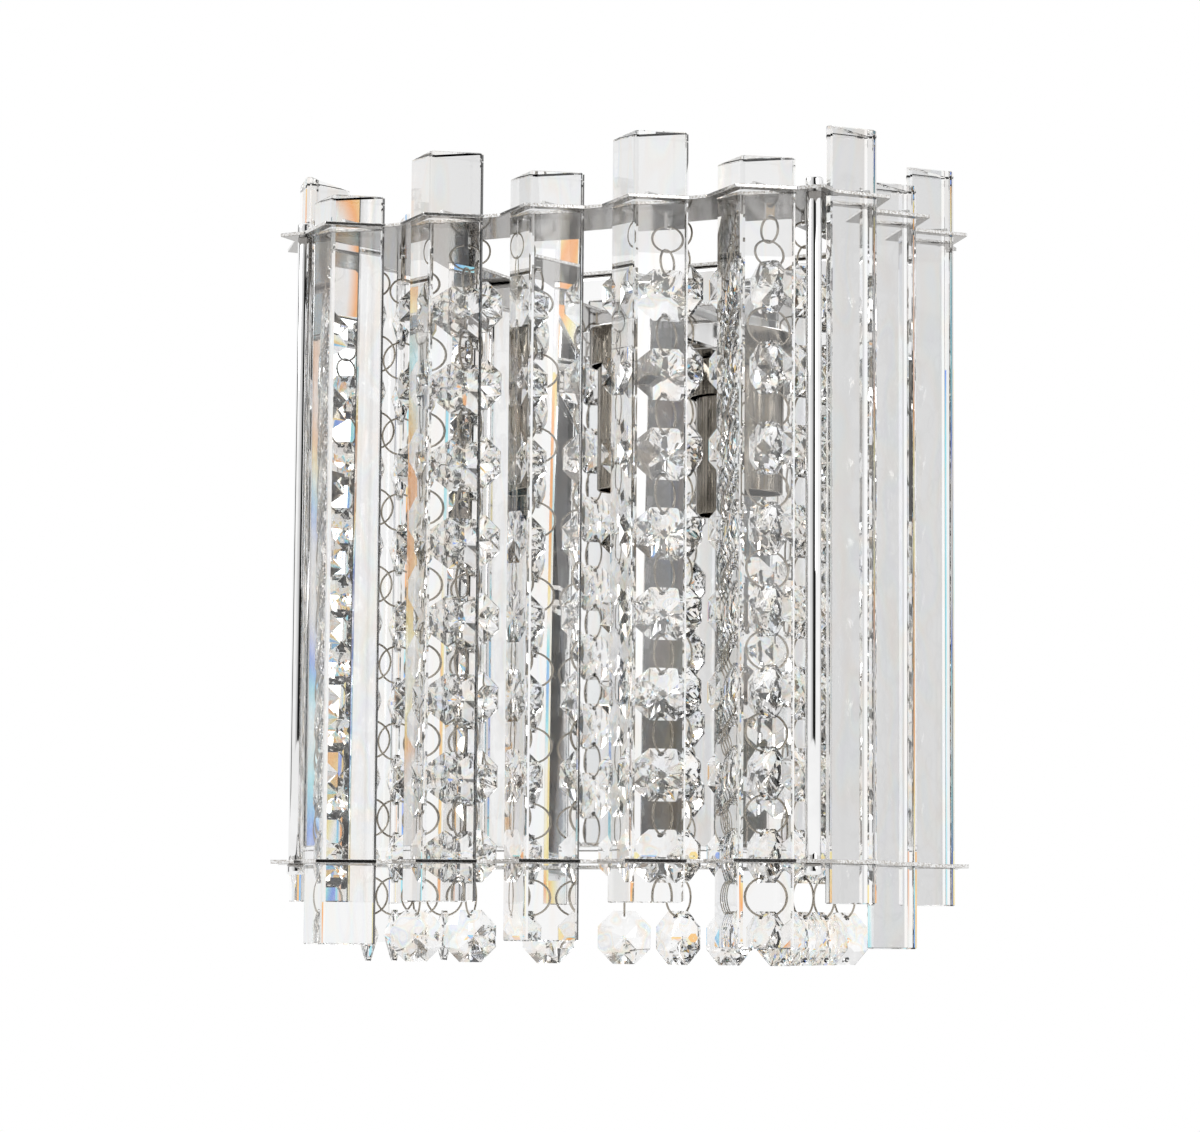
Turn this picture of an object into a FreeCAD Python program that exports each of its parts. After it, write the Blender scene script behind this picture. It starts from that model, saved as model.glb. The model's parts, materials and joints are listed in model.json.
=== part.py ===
"""Crystal wall sconce: two scalloped chrome plates hold eleven glass prisms in slots.

Faceted crystal strings hang inside from the top plate, in front of a mirror-chrome
back pan that carries one downward lamp holder.

Frame: millimetres, +Z up, the wall is the plane Y = 0 and the front faces -Y.
The origin is on the wall, at the middle of the wall bar that takes the fixing screws.
"""
import FreeCAD, Part
import math
import os
import Sketcher

doc = FreeCAD.newDocument("sconce")
sheet = doc.addObject("Spreadsheet::Sheet", "Sizes")

DRIVING = {
    # plates
    "inner_height": 251.5,        # between the facing sides of the two plates
    "plate_thickness": 1.5,
    "ridge_reach": 149.0,         # wall to the ridges of the front prisms
    "side_reach": 128.0,          # middle of the sconce to the ridges of the side prisms
    "front_pitch": 44.7,
    "side_pitch": 41.4,
    "side_start": 38.9,           # front ridges to the middle of the first side prism
    "tooth_margin": 6.0,          # a tooth's tip stands this far outside the prism's ridge
    "tooth_run": 18.85,           # half the width of a tooth
    "top_band": 48.5,             # front ridges to the opening of the top plate
    "bottom_band": 19.5,          # the same on the bottom plate
    "rear_strip": 12.0,           # plate behind the openings, over the back pan
    # glass prisms
    "prism_width": 31.6,
    "facet_slope": 38.2,          # degrees between a facet and the flat back
    "ridge_flat": 1.5,
    "prism_edge": 2.4,            # narrow facet beside the flat back
    "long_prism": 298.0,
    "short_prism": 295.0,
    "high_rise": 25.6,            # short prisms stand this far above the top plate
    "low_rise": 11.8,
    "middle_rise": 13.8,
    "slot_play": 0.3,
    "pin_offset": 4.2,
    "pin_diameter": 1.6,
    "pin_front": 1.6,             # a pin stands this far out of the front facet
    "pin_back": 3.0,
    "pin_play": 0.15,
    # corner posts
    "post_diameter": 6.0,
    "post_inset": 7.3,            # post axis to the corner edges of the plates
    "post_stud": 2.8,
    "stud_play": 0.2,
    "cap_diameter": 7.0,
    "cap_height": 4.3,
    # back pan
    "pan_width": 210.0,
    "pan_depth": 12.0,
    "pan_wall": 1.2,
    "pan_corner": 2.5,
    "pan_foot_gap": 5.75,         # pan to the bottom plate
    # wall bar and its fasteners
    "bar_length": 112.0,
    "bar_width": 20.0,
    "bar_thickness": 2.5,
    "slot_centres": 86.0,         # takes junction boxes of 83 to 89 mm
    "slot_length": 11.0,
    "slot_width": 4.6,
    "stud_centres": 50.0,
    "stud_diameter": 4.0,
    "nut_across": 8.0,
    "nut_collar": 2.5,
    "nut_dome": 3.5,
    # plate fasteners
    "screw_spacing": 140.0,
    "screw_diameter": 4.0,
    "screw_head": 7.6,
    "screw_head_height": 2.2,
    "screw_tip": 3.0,             # screw beyond the pan it is screwed into
    "hole_play": 0.15,
    "spacer_across": 7.0,
    # lamp bracket and lamp holder
    "bracket_length": 96.0,
    "bracket_height": 10.5,
    "bracket_thickness": 1.5,
    "bracket_level": 90.5,        # its lower edge above the middle
    "bracket_screws": 76.0,
    "tongue_width": 16.0,
    "tongue_drop": 2.0,           # tongue above the lower edge of the bracket
    "lamp_reach": 60.0,           # wall to the lamp's axis
    "nipple_diameter": 10.0,
    "nipple_bore": 6.0,
    "nipple_end": 1.0,            # nipple above its upper nut
    "lock_nut_across": 14.0,
    "lock_nut_height": 3.0,
    "cup_diameter": 34.0,
    "cup_height": 16.0,
    "cup_wall": 1.0,
    "sleeve_diameter": 27.0,
    "sleeve_wall": 0.8,
    "sleeve_length": 59.0,
    "sleeve_play": 0.3,           # holder inside the sleeve
    "flange_height": 4.0,         # holder's flange, against which the sleeve is pushed
    "holder_inset": 7.0,          # holder above the sleeve's open end
    "lamp_bore_depth": 25.0,
    "shell_diameter": 13.2,
    "shell_wall": 0.5,
    "shell_height": 20.0,
    "contact_diameter": 5.0,
    "contact_height": 1.2,
    "contact_gap": 1.0,           # insulation between the contact and the shell
    "lead_diameter": 4.0,
    "lead_bend": 12.0,
    # crystal strings
    "crystal_width": 20.5,        # across the flats
    "crystal_thickness": 8.4,
    "crystal_hole": 1.5,          # centre to corner of the three-sided thread hole
    "hole_inset": 2.1,            # hole centre inside the crystal's edge
    "crystal_pitch": 31.4,
    "crystal_count": 9,
    "wire": 0.8,
    "small_ring": 10.2,           # wire centre to wire centre
    "string_setback": 37.0,       # front ridges to the front strings
    "side_string_setback": 38.0,  # side ridges to the side strings
    "side_string_pitch": 21.0,
    "hook_width": 3.0,
    "hook_thickness": 1.0,
    "hook_drop": 3.2,
    "hook_hole": 1.6,
    "hook_bar": 0.3,              # metal below the hook's hole
}
for line, (alias, number) in enumerate(DRIVING.items(), start=1):
    sheet.set(f"A{line}", alias)
    sheet.set(f"B{line}", str(number))
    sheet.setAlias(f"B{line}", alias)
doc.recompute()


def size(alias):
    """A driving dimension as a number."""
    return float(sheet.get(alias))


# Sizes that follow from the driving ones, as expressions for sketches and placements.
TOP = "(Sizes.inner_height / 2)"
SLOPE = "tan(Sizes.facet_slope * 1 deg)"
FACET_DEPTH = f"((Sizes.prism_width - Sizes.ridge_flat) / 2 * {SLOPE})"
PRISM_DEPTH = f"({FACET_DEPTH} + Sizes.prism_edge)"
VALLEY = f"(Sizes.tooth_run * {SLOPE} - Sizes.tooth_margin)"      # ridges to the valleys
SIDE_EDGE = f"(Sizes.side_reach - {VALLEY})"
FRONT_EDGE = f"(Sizes.ridge_reach - {VALLEY})"
POST_X = f"({SIDE_EDGE} - Sizes.post_inset)"
POST_Y = f"({FRONT_EDGE} - Sizes.post_inset)"
PAN_BOTTOM = f"({TOP} - Sizes.pan_foot_gap)"                      # below the middle
TONGUE = "(Sizes.bracket_level + Sizes.tongue_drop)"              # underside of the tongue

top = size("inner_height") / 2
SCREW_HOLE = "(Sizes.screw_diameter + 2 * Sizes.hole_play)"


# ---------------------------------------------------------------- helpers
def plane(body, role):
    """One of a body's own origin planes."""
    return next(item for item in body.Origin.OriginFeatures if item.Role == role)


def new_body(label):
    """An empty body for one sub-part."""
    body = doc.addObject("PartDesign::Body", label)
    body.Label = label
    return body


def bind(item, **expressions):
    """Tie properties of a piece to the sheet."""
    for name, expression in expressions.items():
        item.setExpression(name, expression)


def place(item, x="0", y="0", z="0"):
    """Bind the place of a piece to the sheet."""
    item.setExpression("Placement.Base.x", f"({x}) * 1 mm")
    item.setExpression("Placement.Base.y", f"({y}) * 1 mm")
    item.setExpression("Placement.Base.z", f"({z}) * 1 mm")


def sketch_on(body, role, label, level=None):
    """A sketch on one of the body's origin planes, or at a level above it."""
    sketch = body.newObject("Sketcher::SketchObject", label)
    sketch.AttachmentSupport = (plane(body, role), "")
    sketch.MapMode = "FlatFace"
    if level is not None:
        sketch.setExpression("AttachmentOffset.Base.z", f"({level}) * 1 mm")
    return sketch


def polygon(sketch, corners):
    """A closed outline whose corners are pairs of expressions, each bound to the sheet."""
    here = []
    for pair in corners:
        probe = []
        for expression in pair:
            probe.append(float(FreeCAD.Units.Quantity(sketch.evalExpression(expression)).Value))
        here.append(FreeCAD.Vector(probe[0], probe[1], 0))
    first = sketch.GeometryCount
    count = len(here)
    for index, point in enumerate(here):
        sketch.addGeometry(Part.LineSegment(point, here[(index + 1) % count]), False)
    for index in range(count):
        following = first + (index + 1) % count
        sketch.addConstraint(Sketcher.Constraint("Coincident", first + index, 2, following, 1))
    for index, (across, along) in enumerate(corners):
        for kind, expression, number in (("DistanceX", across, here[index].x),
                                         ("DistanceY", along, here[index].y)):
            row = sketch.addConstraint(Sketcher.Constraint(kind, first + index, 1, number))
            sketch.setExpression(f"Constraints[{row}]", expression)


def rectangle(sketch, left, right, low, high):
    """A rectangle between four expressions."""
    polygon(sketch, [(left, low), (right, low), (right, high), (left, high)])


def circle(sketch, across, along, diameter):
    """A circle whose centre and diameter are expressions."""
    read = [float(FreeCAD.Units.Quantity(sketch.evalExpression(text)).Value)
            for text in (across, along, diameter)]
    row = sketch.addGeometry(Part.Circle(FreeCAD.Vector(read[0], read[1], 0),
                                         FreeCAD.Vector(0, 0, 1), read[2] / 2), False)
    for kind, expression, number in (("DistanceX", across, read[0]), ("DistanceY", along, read[1])):
        bound = sketch.addConstraint(Sketcher.Constraint(kind, row, 3, number))
        sketch.setExpression(f"Constraints[{bound}]", expression)
    bound = sketch.addConstraint(Sketcher.Constraint("Diameter", row, read[2]))
    sketch.setExpression(f"Constraints[{bound}]", diameter)


def pad(body, sketch, length, label):
    """A sketch drawn out to a length."""
    feature = body.newObject("PartDesign::Pad", label)
    feature.Profile = sketch
    feature.setExpression("Length", f"({length}) * 1 mm")
    return feature


def pocket(body, sketch, label, length=None, upward=False):
    """A cut through everything both ways, or to a depth."""
    feature = body.newObject("PartDesign::Pocket", label)
    feature.Profile = sketch
    if length is None:
        feature.Type = 1
        feature.Midplane = True
    else:
        feature.setExpression("Length", f"({length}) * 1 mm")
        feature.Reversed = upward
    return feature


def round_hole(sketch, across, along, diameter, sides=8, start=22.5):
    """A hole as an even polygon whose flats touch the circle of that diameter."""
    reach = f"({diameter}) / 2 / cos({180 / sides} deg)"
    polygon(sketch, [(f"{across} + {reach} * cos({start + turn * 360 / sides} deg)",
                      f"{along} + {reach} * sin({start + turn * 360 / sides} deg)")
                     for turn in range(sides)])


def rod(label, sides, diameter, height, x="0", y="0", z="0", hollow=False):
    """A slim round piece as an even prism inside its circle, or a hollow one round the circle."""
    piece = doc.addObject("Part::Prism", label)
    piece.Polygon = sides
    grow = f" / cos({180 / sides} deg)" if hollow else ""
    bind(piece, Circumradius=f"({diameter}) / 2{grow} * 1 mm", Height=f"({height}) * 1 mm")
    place(piece, x, y, z)
    return piece


def cylinder(label, diameter, height, x="0", y="0", z="0"):
    """A true cylinder along +Z."""
    piece = doc.addObject("Part::Cylinder", label)
    bind(piece, Radius=f"({diameter}) / 2 * 1 mm", Height=f"({height}) * 1 mm")
    place(piece, x, y, z)
    return piece


def cut(label, base, tool):
    """One piece less another."""
    piece = doc.addObject("Part::Cut", label)
    piece.Base = base
    piece.Tool = tool
    return piece


def fuse(label, pieces):
    """Several pieces as one solid."""
    piece = doc.addObject("Part::MultiFuse", label)
    piece.Shapes = pieces
    return piece


def group(label, pieces):
    """Separate solids that share one node."""
    piece = doc.addObject("Part::Compound", label)
    piece.Links = pieces
    return piece


def shape_piece(label, shape):
    """A piece whose shape is worked out here from the sheet's sizes."""
    piece = doc.addObject("Part::Feature", label)
    piece.Shape = shape
    return piece


nodes = []


def node(piece, name):
    """Name a finished sub-part and list it for writing."""
    piece.Label = name
    nodes.append(piece)
    return piece


# ---------------------------------------------------------------- scalloped plates
def tooth_outline():
    """The right half of the scalloped edge, from the front middle to the rear, as expressions."""
    front_tip = "-(Sizes.ridge_reach + Sizes.tooth_margin)"
    side_tip = "(Sizes.side_reach + Sizes.tooth_margin)"
    corners = [("0", front_tip)]
    for index in range(1, 3):
        ridge = f"{index} * Sizes.front_pitch"
        corners.append((f"{ridge} - Sizes.front_pitch + Sizes.tooth_run", f"-{FRONT_EDGE}"))
        corners.append((f"{ridge} - Sizes.tooth_run", f"-{FRONT_EDGE}"))
        corners.append((ridge, front_tip))
    corners.append(("2 * Sizes.front_pitch + Sizes.tooth_run", f"-{FRONT_EDGE}"))
    corners.append((SIDE_EDGE, f"-{FRONT_EDGE}"))
    for index in range(3):
        ridge = f"-Sizes.ridge_reach + Sizes.side_start + {index} * Sizes.side_pitch"
        corners.append((SIDE_EDGE, f"{ridge} - Sizes.tooth_run"))
        corners.append((side_tip, ridge))
        corners.append((SIDE_EDGE, f"{ridge} + Sizes.tooth_run"))
    corners.append((SIDE_EDGE, "0"))
    return corners


def slot_outline(play, turned=False):
    """A prism's section with play all round; turned, its ridge points to +X instead of -Y."""
    half = f"(Sizes.prism_width / 2 + {play})"
    lean = f"{play} / cos(Sizes.facet_slope * 1 deg)"
    ridge = f"(Sizes.ridge_flat / 2 + ({lean} - {play}) / {SLOPE})"
    shoulder = f"(-({half} - Sizes.ridge_flat / 2) * {SLOPE} + {lean})"
    back = f"(-{PRISM_DEPTH} - {play})"
    points = [(f"-{half}", back), (f"-{half}", shoulder), (f"-{ridge}", play),
              (ridge, play), (half, shoulder), (half, back)]
    if turned:
        return [(outward, across) for across, outward in points]
    return [(across, f"-({outward})") for across, outward in points]


def moved(corners, x, y):
    """Corners shifted by two expressions."""
    return [(f"{x} + {across}", f"{y} + {along}") for across, along in corners]


def scalloped_plate(name, level, band):
    """A plate with its teeth, the slots for the prisms, its opening and its fixing holes."""
    body = new_body(name)
    half = tooth_outline()
    mirrored = [(f"-({across})", along) for across, along in reversed(half) if across != "0"]
    outline = sketch_on(body, "XY_Plane", f"{name}_outline")
    polygon(outline, half + mirrored)
    pad(body, outline, "Sizes.plate_thickness", f"{name}_sheet")

    opening = sketch_on(body, "XY_Plane", f"{name}_opening")
    side = f"(Sizes.side_reach - {band})"
    rectangle(opening, f"-{side}", side, f"-Sizes.ridge_reach + {band}", "-Sizes.rear_strip")
    pocket(body, opening, f"{name}_window")

    front = sketch_on(body, "XY_Plane", f"{name}_front_slot")
    polygon(front, moved(slot_outline("Sizes.slot_play"), "-2 * Sizes.front_pitch", "-Sizes.ridge_reach"))
    first = pocket(body, front, f"{name}_front_cut")
    row = body.newObject("PartDesign::LinearPattern", f"{name}_front_row")
    row.Originals = [first]
    row.Direction = (front, ["H_Axis"])
    row.setExpression("Length", "4 * Sizes.front_pitch * 1 mm")
    row.Occurrences = 5
    body.Tip = row

    for sign, side_name in (("", "right"), ("-", "left")):
        slot = sketch_on(body, "XY_Plane", f"{name}_{side_name}_slot")
        corners = slot_outline("Sizes.slot_play", turned=True)
        start = "-Sizes.ridge_reach + Sizes.side_start"
        placed = moved(corners, "Sizes.side_reach", start)
        polygon(slot, [(f"{sign}({across})", along) for across, along in placed])
        first = pocket(body, slot, f"{name}_{side_name}_cut")
        row = body.newObject("PartDesign::LinearPattern", f"{name}_{side_name}_row")
        row.Originals = [first]
        row.Direction = (slot, ["V_Axis"])
        row.setExpression("Length", "2 * Sizes.side_pitch * 1 mm")
        row.Occurrences = 3
        body.Tip = row

    holes = sketch_on(body, "XY_Plane", f"{name}_holes")
    for sign in ("", "-"):
        round_hole(holes, f"{sign}{POST_X}", f"-{POST_Y}", "Sizes.post_stud + 2 * Sizes.stud_play")
        round_hole(holes, f"{sign}Sizes.screw_spacing / 2", "-Sizes.rear_strip / 2", SCREW_HOLE)
    pocket(body, holes, f"{name}_hole_cuts")
    place(body, z=level)
    return node(body, name)


scalloped_plate("top_plate", TOP, "Sizes.top_band")
scalloped_plate("bottom_plate", f"-{TOP} - Sizes.plate_thickness", "Sizes.bottom_band")


# ---------------------------------------------------------------- glass prisms and their pins
def prism(name, length, rise, x, y, turn, hand):
    """One glass bar with its ridge outwards and a cross hole for its pin, right or left of it."""
    body = new_body(name)
    section = sketch_on(body, "XY_Plane", f"{name}_section")
    polygon(section, slot_outline("0"))
    pad(body, section, length, f"{name}_bar")
    hole = sketch_on(body, "XZ_Plane", f"{name}_pin_hole")
    round_hole(hole, f"{hand} * Sizes.pin_offset", f"{length} - {rise} + Sizes.pin_diameter / 2",
               "Sizes.pin_diameter + 2 * Sizes.pin_play", sides=6, start=0)
    pocket(body, hole, f"{name}_pin_cut")
    body.Placement.Rotation = FreeCAD.Rotation(FreeCAD.Vector(0, 0, 1), turn)
    place(body, x, y, f"{TOP} + Sizes.plate_thickness + {rise} - {length}")
    return node(body, name)


def pin(x, y, turn, hand):
    """A six-sided cross pin that lies on the top plate and carries its prism."""
    surface = f"((Sizes.pin_offset - Sizes.ridge_flat / 2) * {SLOPE})"    # facet behind the ridge
    outward = f"({surface} - Sizes.pin_front)"
    length = f"{PRISM_DEPTH} + Sizes.pin_back - {outward}"
    across = f"{hand} * Sizes.pin_offset"
    to_side = turn // 90
    if to_side:
        x, y = f"{x} - {to_side} * {outward}", f"{y} + {to_side} * {across}"
    else:
        x, y = f"{x} + {across}", f"{y} + {outward}"
    piece = rod("pin", 6, "Sizes.pin_diameter", length, x, y,
                f"{TOP} + Sizes.plate_thickness + Sizes.pin_diameter / 2", hollow=True)
    inward = FreeCAD.Rotation(FreeCAD.Vector(1, 0, 0), -90)
    piece.Placement.Rotation = FreeCAD.Rotation(FreeCAD.Vector(0, 0, 1), turn).multiply(inward)
    return piece


LONG = ("Sizes.long_prism", "Sizes.low_rise")
SHORT = ("Sizes.short_prism", "Sizes.high_rise")
MIDDLE = ("Sizes.long_prism", "Sizes.middle_rise")
pins = []
for index, (length, rise) in enumerate((LONG, SHORT, MIDDLE, SHORT, LONG)):
    x, y = f"{index - 2} * Sizes.front_pitch", "-Sizes.ridge_reach"
    prism(f"front_prism_{index + 1}", length, rise, x, y, 0, 1)
    pins.append(pin(x, y, 0, 1))
for side, sign in (("left", -1), ("right", 1)):
    for index, (length, rise) in enumerate((SHORT, LONG, SHORT)):
        x = f"{sign} * Sizes.side_reach"
        y = f"-Sizes.ridge_reach + Sizes.side_start + {index} * Sizes.side_pitch"
        prism(f"{side}_prism_{index + 1}", length, rise, x, y, sign * 90, -sign)
        pins.append(pin(x, y, sign * 90, -sign))
node(group("pin_group", pins), "prism_pins")


# ---------------------------------------------------------------- corner posts and caps
def post(side, sign):
    """A round post between the plates; its studs pass through both plates into the caps."""
    x, y = f"{sign} * {POST_X}", f"-{POST_Y}"
    shaft = cylinder(f"{side}_shaft", "Sizes.post_diameter", "Sizes.inner_height", x, y, f"-{TOP}")
    reach = "(Sizes.plate_thickness + Sizes.cap_height / 2)"
    stud = rod(f"{side}_stud", 8, "Sizes.post_stud", f"Sizes.inner_height + 2 * {reach}", x, y,
               f"-{TOP} - {reach}")
    return fuse(f"{side}_post", [shaft, stud])


def cap(label, x, z, upward):
    """A round cap nut with a blind bore for the post's stud."""
    y = f"-{POST_Y}"
    depth = "(Sizes.cap_height / 2 + Sizes.stud_play)"
    outer = rod(f"{label}_outer", 12, "Sizes.cap_diameter", "Sizes.cap_height", x, y, z)
    bore_z = z if upward else f"{z} + Sizes.cap_height - {depth}"
    bore = rod(f"{label}_bore", 8, "Sizes.post_stud + 2 * Sizes.stud_play", depth, x, y, bore_z,
               hollow=True)
    return cut(f"{label}_cap", outer, bore)


PLATE_TOP = f"{TOP} + Sizes.plate_thickness"
posts, caps = [], []
for side, sign in (("left", -1), ("right", 1)):
    posts.append(post(side, sign))
    caps.append(cap(f"top_{side}", f"{sign} * {POST_X}", PLATE_TOP, True))
    caps.append(cap(f"bottom_{side}", f"{sign} * {POST_X}", f"-({PLATE_TOP}) - Sizes.cap_height", False))
node(group("post_pair", posts), "corner_posts")
node(group("cap_set", caps), "post_caps")


# ---------------------------------------------------------------- back pan
def back_pan():
    """A shallow mirror-chrome pan, open to the wall, with softened front edges."""
    body = new_body("back_pan")
    outline = sketch_on(body, "XZ_Plane", "pan_outline")
    half = "Sizes.pan_width / 2"
    rectangle(outline, f"-{half}", half, f"-{PAN_BOTTOM}", TOP)
    block = pad(body, outline, "Sizes.pan_depth", "pan_block")
    doc.recompute()
    front = min(face.CenterOfMass.y for face in block.Shape.Faces)
    rims = [f"Edge{number}" for number, edge in enumerate(block.Shape.Edges, start=1)
            if abs(edge.BoundBox.YMin - front) < 1e-6 and abs(edge.BoundBox.YMax - front) < 1e-6]
    rounding = body.newObject("PartDesign::Fillet", "pan_front_edges")
    rounding.Base = (block, rims)
    rounding.setExpression("Radius", "Sizes.pan_corner * 1 mm")
    inside = sketch_on(body, "XZ_Plane", "pan_inside")
    wall = "Sizes.pan_wall"
    rectangle(inside, f"-{half} + {wall}", f"{half} - {wall}", f"-{PAN_BOTTOM} + {wall}",
              f"{TOP} - {wall}")
    pocket(body, inside, "pan_hollow", "Sizes.pan_depth - Sizes.pan_wall", upward=True)
    holes = sketch_on(body, "XZ_Plane", "pan_front_holes")
    bracket_middle = "Sizes.bracket_level + Sizes.bracket_height / 2"
    for sign in ("", "-"):
        round_hole(holes, f"{sign}Sizes.stud_centres / 2", "0", STUD_HOLE)
        round_hole(holes, f"{sign}Sizes.bracket_screws / 2", bracket_middle, SCREW_HOLE)
    round_hole(holes, "0", LEAD_LEVEL, "Sizes.lead_diameter + 2 * Sizes.hole_play")
    pocket(body, holes, "pan_front_cuts")
    flange = sketch_on(body, "XY_Plane", "pan_flange_holes")
    for sign in ("", "-"):
        round_hole(flange, f"{sign}Sizes.screw_spacing / 2", "-Sizes.rear_strip / 2", SCREW_HOLE)
    pocket(body, flange, "pan_flange_cuts")
    return node(body, "back_pan")


STUD_HOLE = "(Sizes.stud_diameter + 2 * Sizes.hole_play)"
NIPPLE_HOLE = "(Sizes.nipple_diameter + 2 * Sizes.hole_play)"
NIPPLE_TOP = f"({TONGUE} + Sizes.bracket_thickness + Sizes.lock_nut_height + Sizes.nipple_end)"
LEAD_LEVEL = f"({NIPPLE_TOP} + Sizes.lead_bend)"
back_pan()


# ---------------------------------------------------------------- wall bar and its studs
def wall_bar():
    """The flat bar that is screwed to the junction box, with its two slots and tapped holes."""
    body = new_body("wall_bar")
    outline = sketch_on(body, "XZ_Plane", "bar_outline")
    rectangle(outline, "-Sizes.bar_length / 2", "Sizes.bar_length / 2",
              "-Sizes.bar_width / 2", "Sizes.bar_width / 2")
    pad(body, outline, "Sizes.bar_thickness", "bar_strip")
    openings = sketch_on(body, "XZ_Plane", "bar_openings")
    for sign in ("", "-"):
        middle = f"{sign}Sizes.slot_centres / 2"
        run = "(Sizes.slot_length - Sizes.slot_width) / 2"
        rectangle(openings, f"{middle} - {run}", f"{middle} + {run}",
                  "-Sizes.slot_width / 2", "Sizes.slot_width / 2")
    pocket(body, openings, "bar_slots")
    for end in ("-", "+"):
        rounds = sketch_on(body, "XZ_Plane", f"bar_slot_ends_{'a' if end == '-' else 'b'}")
        for sign in ("", "-"):
            middle = f"{sign}Sizes.slot_centres / 2"
            circle(rounds, f"{middle} {end} (Sizes.slot_length - Sizes.slot_width) / 2", "0",
                   "Sizes.slot_width")
        pocket(body, rounds, f"bar_slot_rounds_{'a' if end == '-' else 'b'}")
    taps = sketch_on(body, "XZ_Plane", "bar_taps")
    for sign in ("", "-"):
        round_hole(taps, f"{sign}Sizes.stud_centres / 2", "0", STUD_HOLE)
    pocket(body, taps, "bar_tap_cuts")
    return node(body, "wall_bar")


def along_y(piece, x, y, z):
    """Turn a piece that is built along +Z to point to the front, from a place on the wall side."""
    piece.Placement.Rotation = FreeCAD.Rotation(FreeCAD.Vector(1, 0, 0), 90)
    place(piece, x, y, z)
    return piece


DOME_SIDES = 12
DOME_ROUNDS = ((1, 0), (0.84, 0.6), (0.4, 1))    # shares of the dome's radius and of its height


def flat_dome():
    """A dome of flat faces: full width at its foot, then two drawn-in rounds up to its tip."""
    rounds = []
    for share, level in DOME_ROUNDS:
        reach = size("nut_across") / 2 * share
        rounds.append([FreeCAD.Vector(reach * math.cos(math.tau * turn / DOME_SIDES),
                                      reach * math.sin(math.tau * turn / DOME_SIDES),
                                      size("nut_dome") * level) for turn in range(DOME_SIDES)])
    faces = [Part.Face(Part.makePolygon(ends + ends[:1])) for ends in (rounds[0], rounds[-1])]
    for near, far in zip(rounds, rounds[1:]):
        for turn in range(DOME_SIDES):
            after = (turn + 1) % DOME_SIDES
            faces.append(Part.Face(Part.makePolygon(
                [near[turn], near[after], far[after], far[turn], near[turn]])))
    return Part.Solid(Part.makeShell(faces))


wall_bar()
studs, dome_nuts = [], []
for sign in (-1, 1):
    x, face = f"{sign} * Sizes.stud_centres / 2", "-Sizes.pan_depth"
    length = "Sizes.pan_depth + Sizes.nut_collar + Sizes.nut_dome / 2"
    studs.append(along_y(rod("stud", 8, "Sizes.stud_diameter", length), x, "0", "0"))
    collar = along_y(rod("collar", 6, "Sizes.nut_across", "Sizes.nut_collar", hollow=True), x, face, "0")
    dome = shape_piece("dome", flat_dome())
    along_y(dome, x, f"{face} - Sizes.nut_collar", "0")
    depth = "Sizes.nut_collar + Sizes.nut_dome / 2 + Sizes.hole_play"
    bore = along_y(rod("nut_bore", 8, STUD_HOLE, depth, hollow=True), x, face, "0")
    dome_nuts.append(cut("dome_nut", fuse("dome_nut_body", [dome, collar]), bore))
node(group("stud_pair", studs), "mounting_studs")
node(group("dome_nut_pair", dome_nuts), "dome_nuts")


# ---------------------------------------------------------------- pan screws and spacers
def screw(x, y, level, upward):
    """A screw whose head lies outside a plate and whose shank enters the pan."""
    gap = "0" if upward else "Sizes.pan_foot_gap"
    reach = f"(Sizes.plate_thickness + {gap} + Sizes.pan_wall + Sizes.screw_tip)"
    head_z = level if upward else f"{level} - Sizes.screw_head_height"
    shank_z = f"{level} - {reach}" if upward else level
    head = rod("head", 8, "Sizes.screw_head", "Sizes.screw_head_height", x, y, head_z)
    shank = rod("shank", 8, "Sizes.screw_diameter", reach, x, y, shank_z)
    return fuse("screw", [head, shank])


def hex_nut(x, y, z, across, height, bore):
    """A hexagon nut by its width across the flats."""
    blank = rod("nut_blank", 6, across, height, x, y, z, hollow=True)
    return cut("nut", blank, rod("nut_hole", 12, bore, height, x, y, z, hollow=True))


screws, spacers = [], []
for sign in (-1, 1):
    x, y = f"{sign} * Sizes.screw_spacing / 2", "-Sizes.rear_strip / 2"
    screws.append(screw(x, y, PLATE_TOP, True))
    screws.append(screw(x, y, f"-({PLATE_TOP})", False))
    spacers.append(hex_nut(x, y, f"-{TOP}", "Sizes.spacer_across", "Sizes.pan_foot_gap", SCREW_HOLE))
node(group("spacer_pair", spacers), "bottom_spacers")


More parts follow.
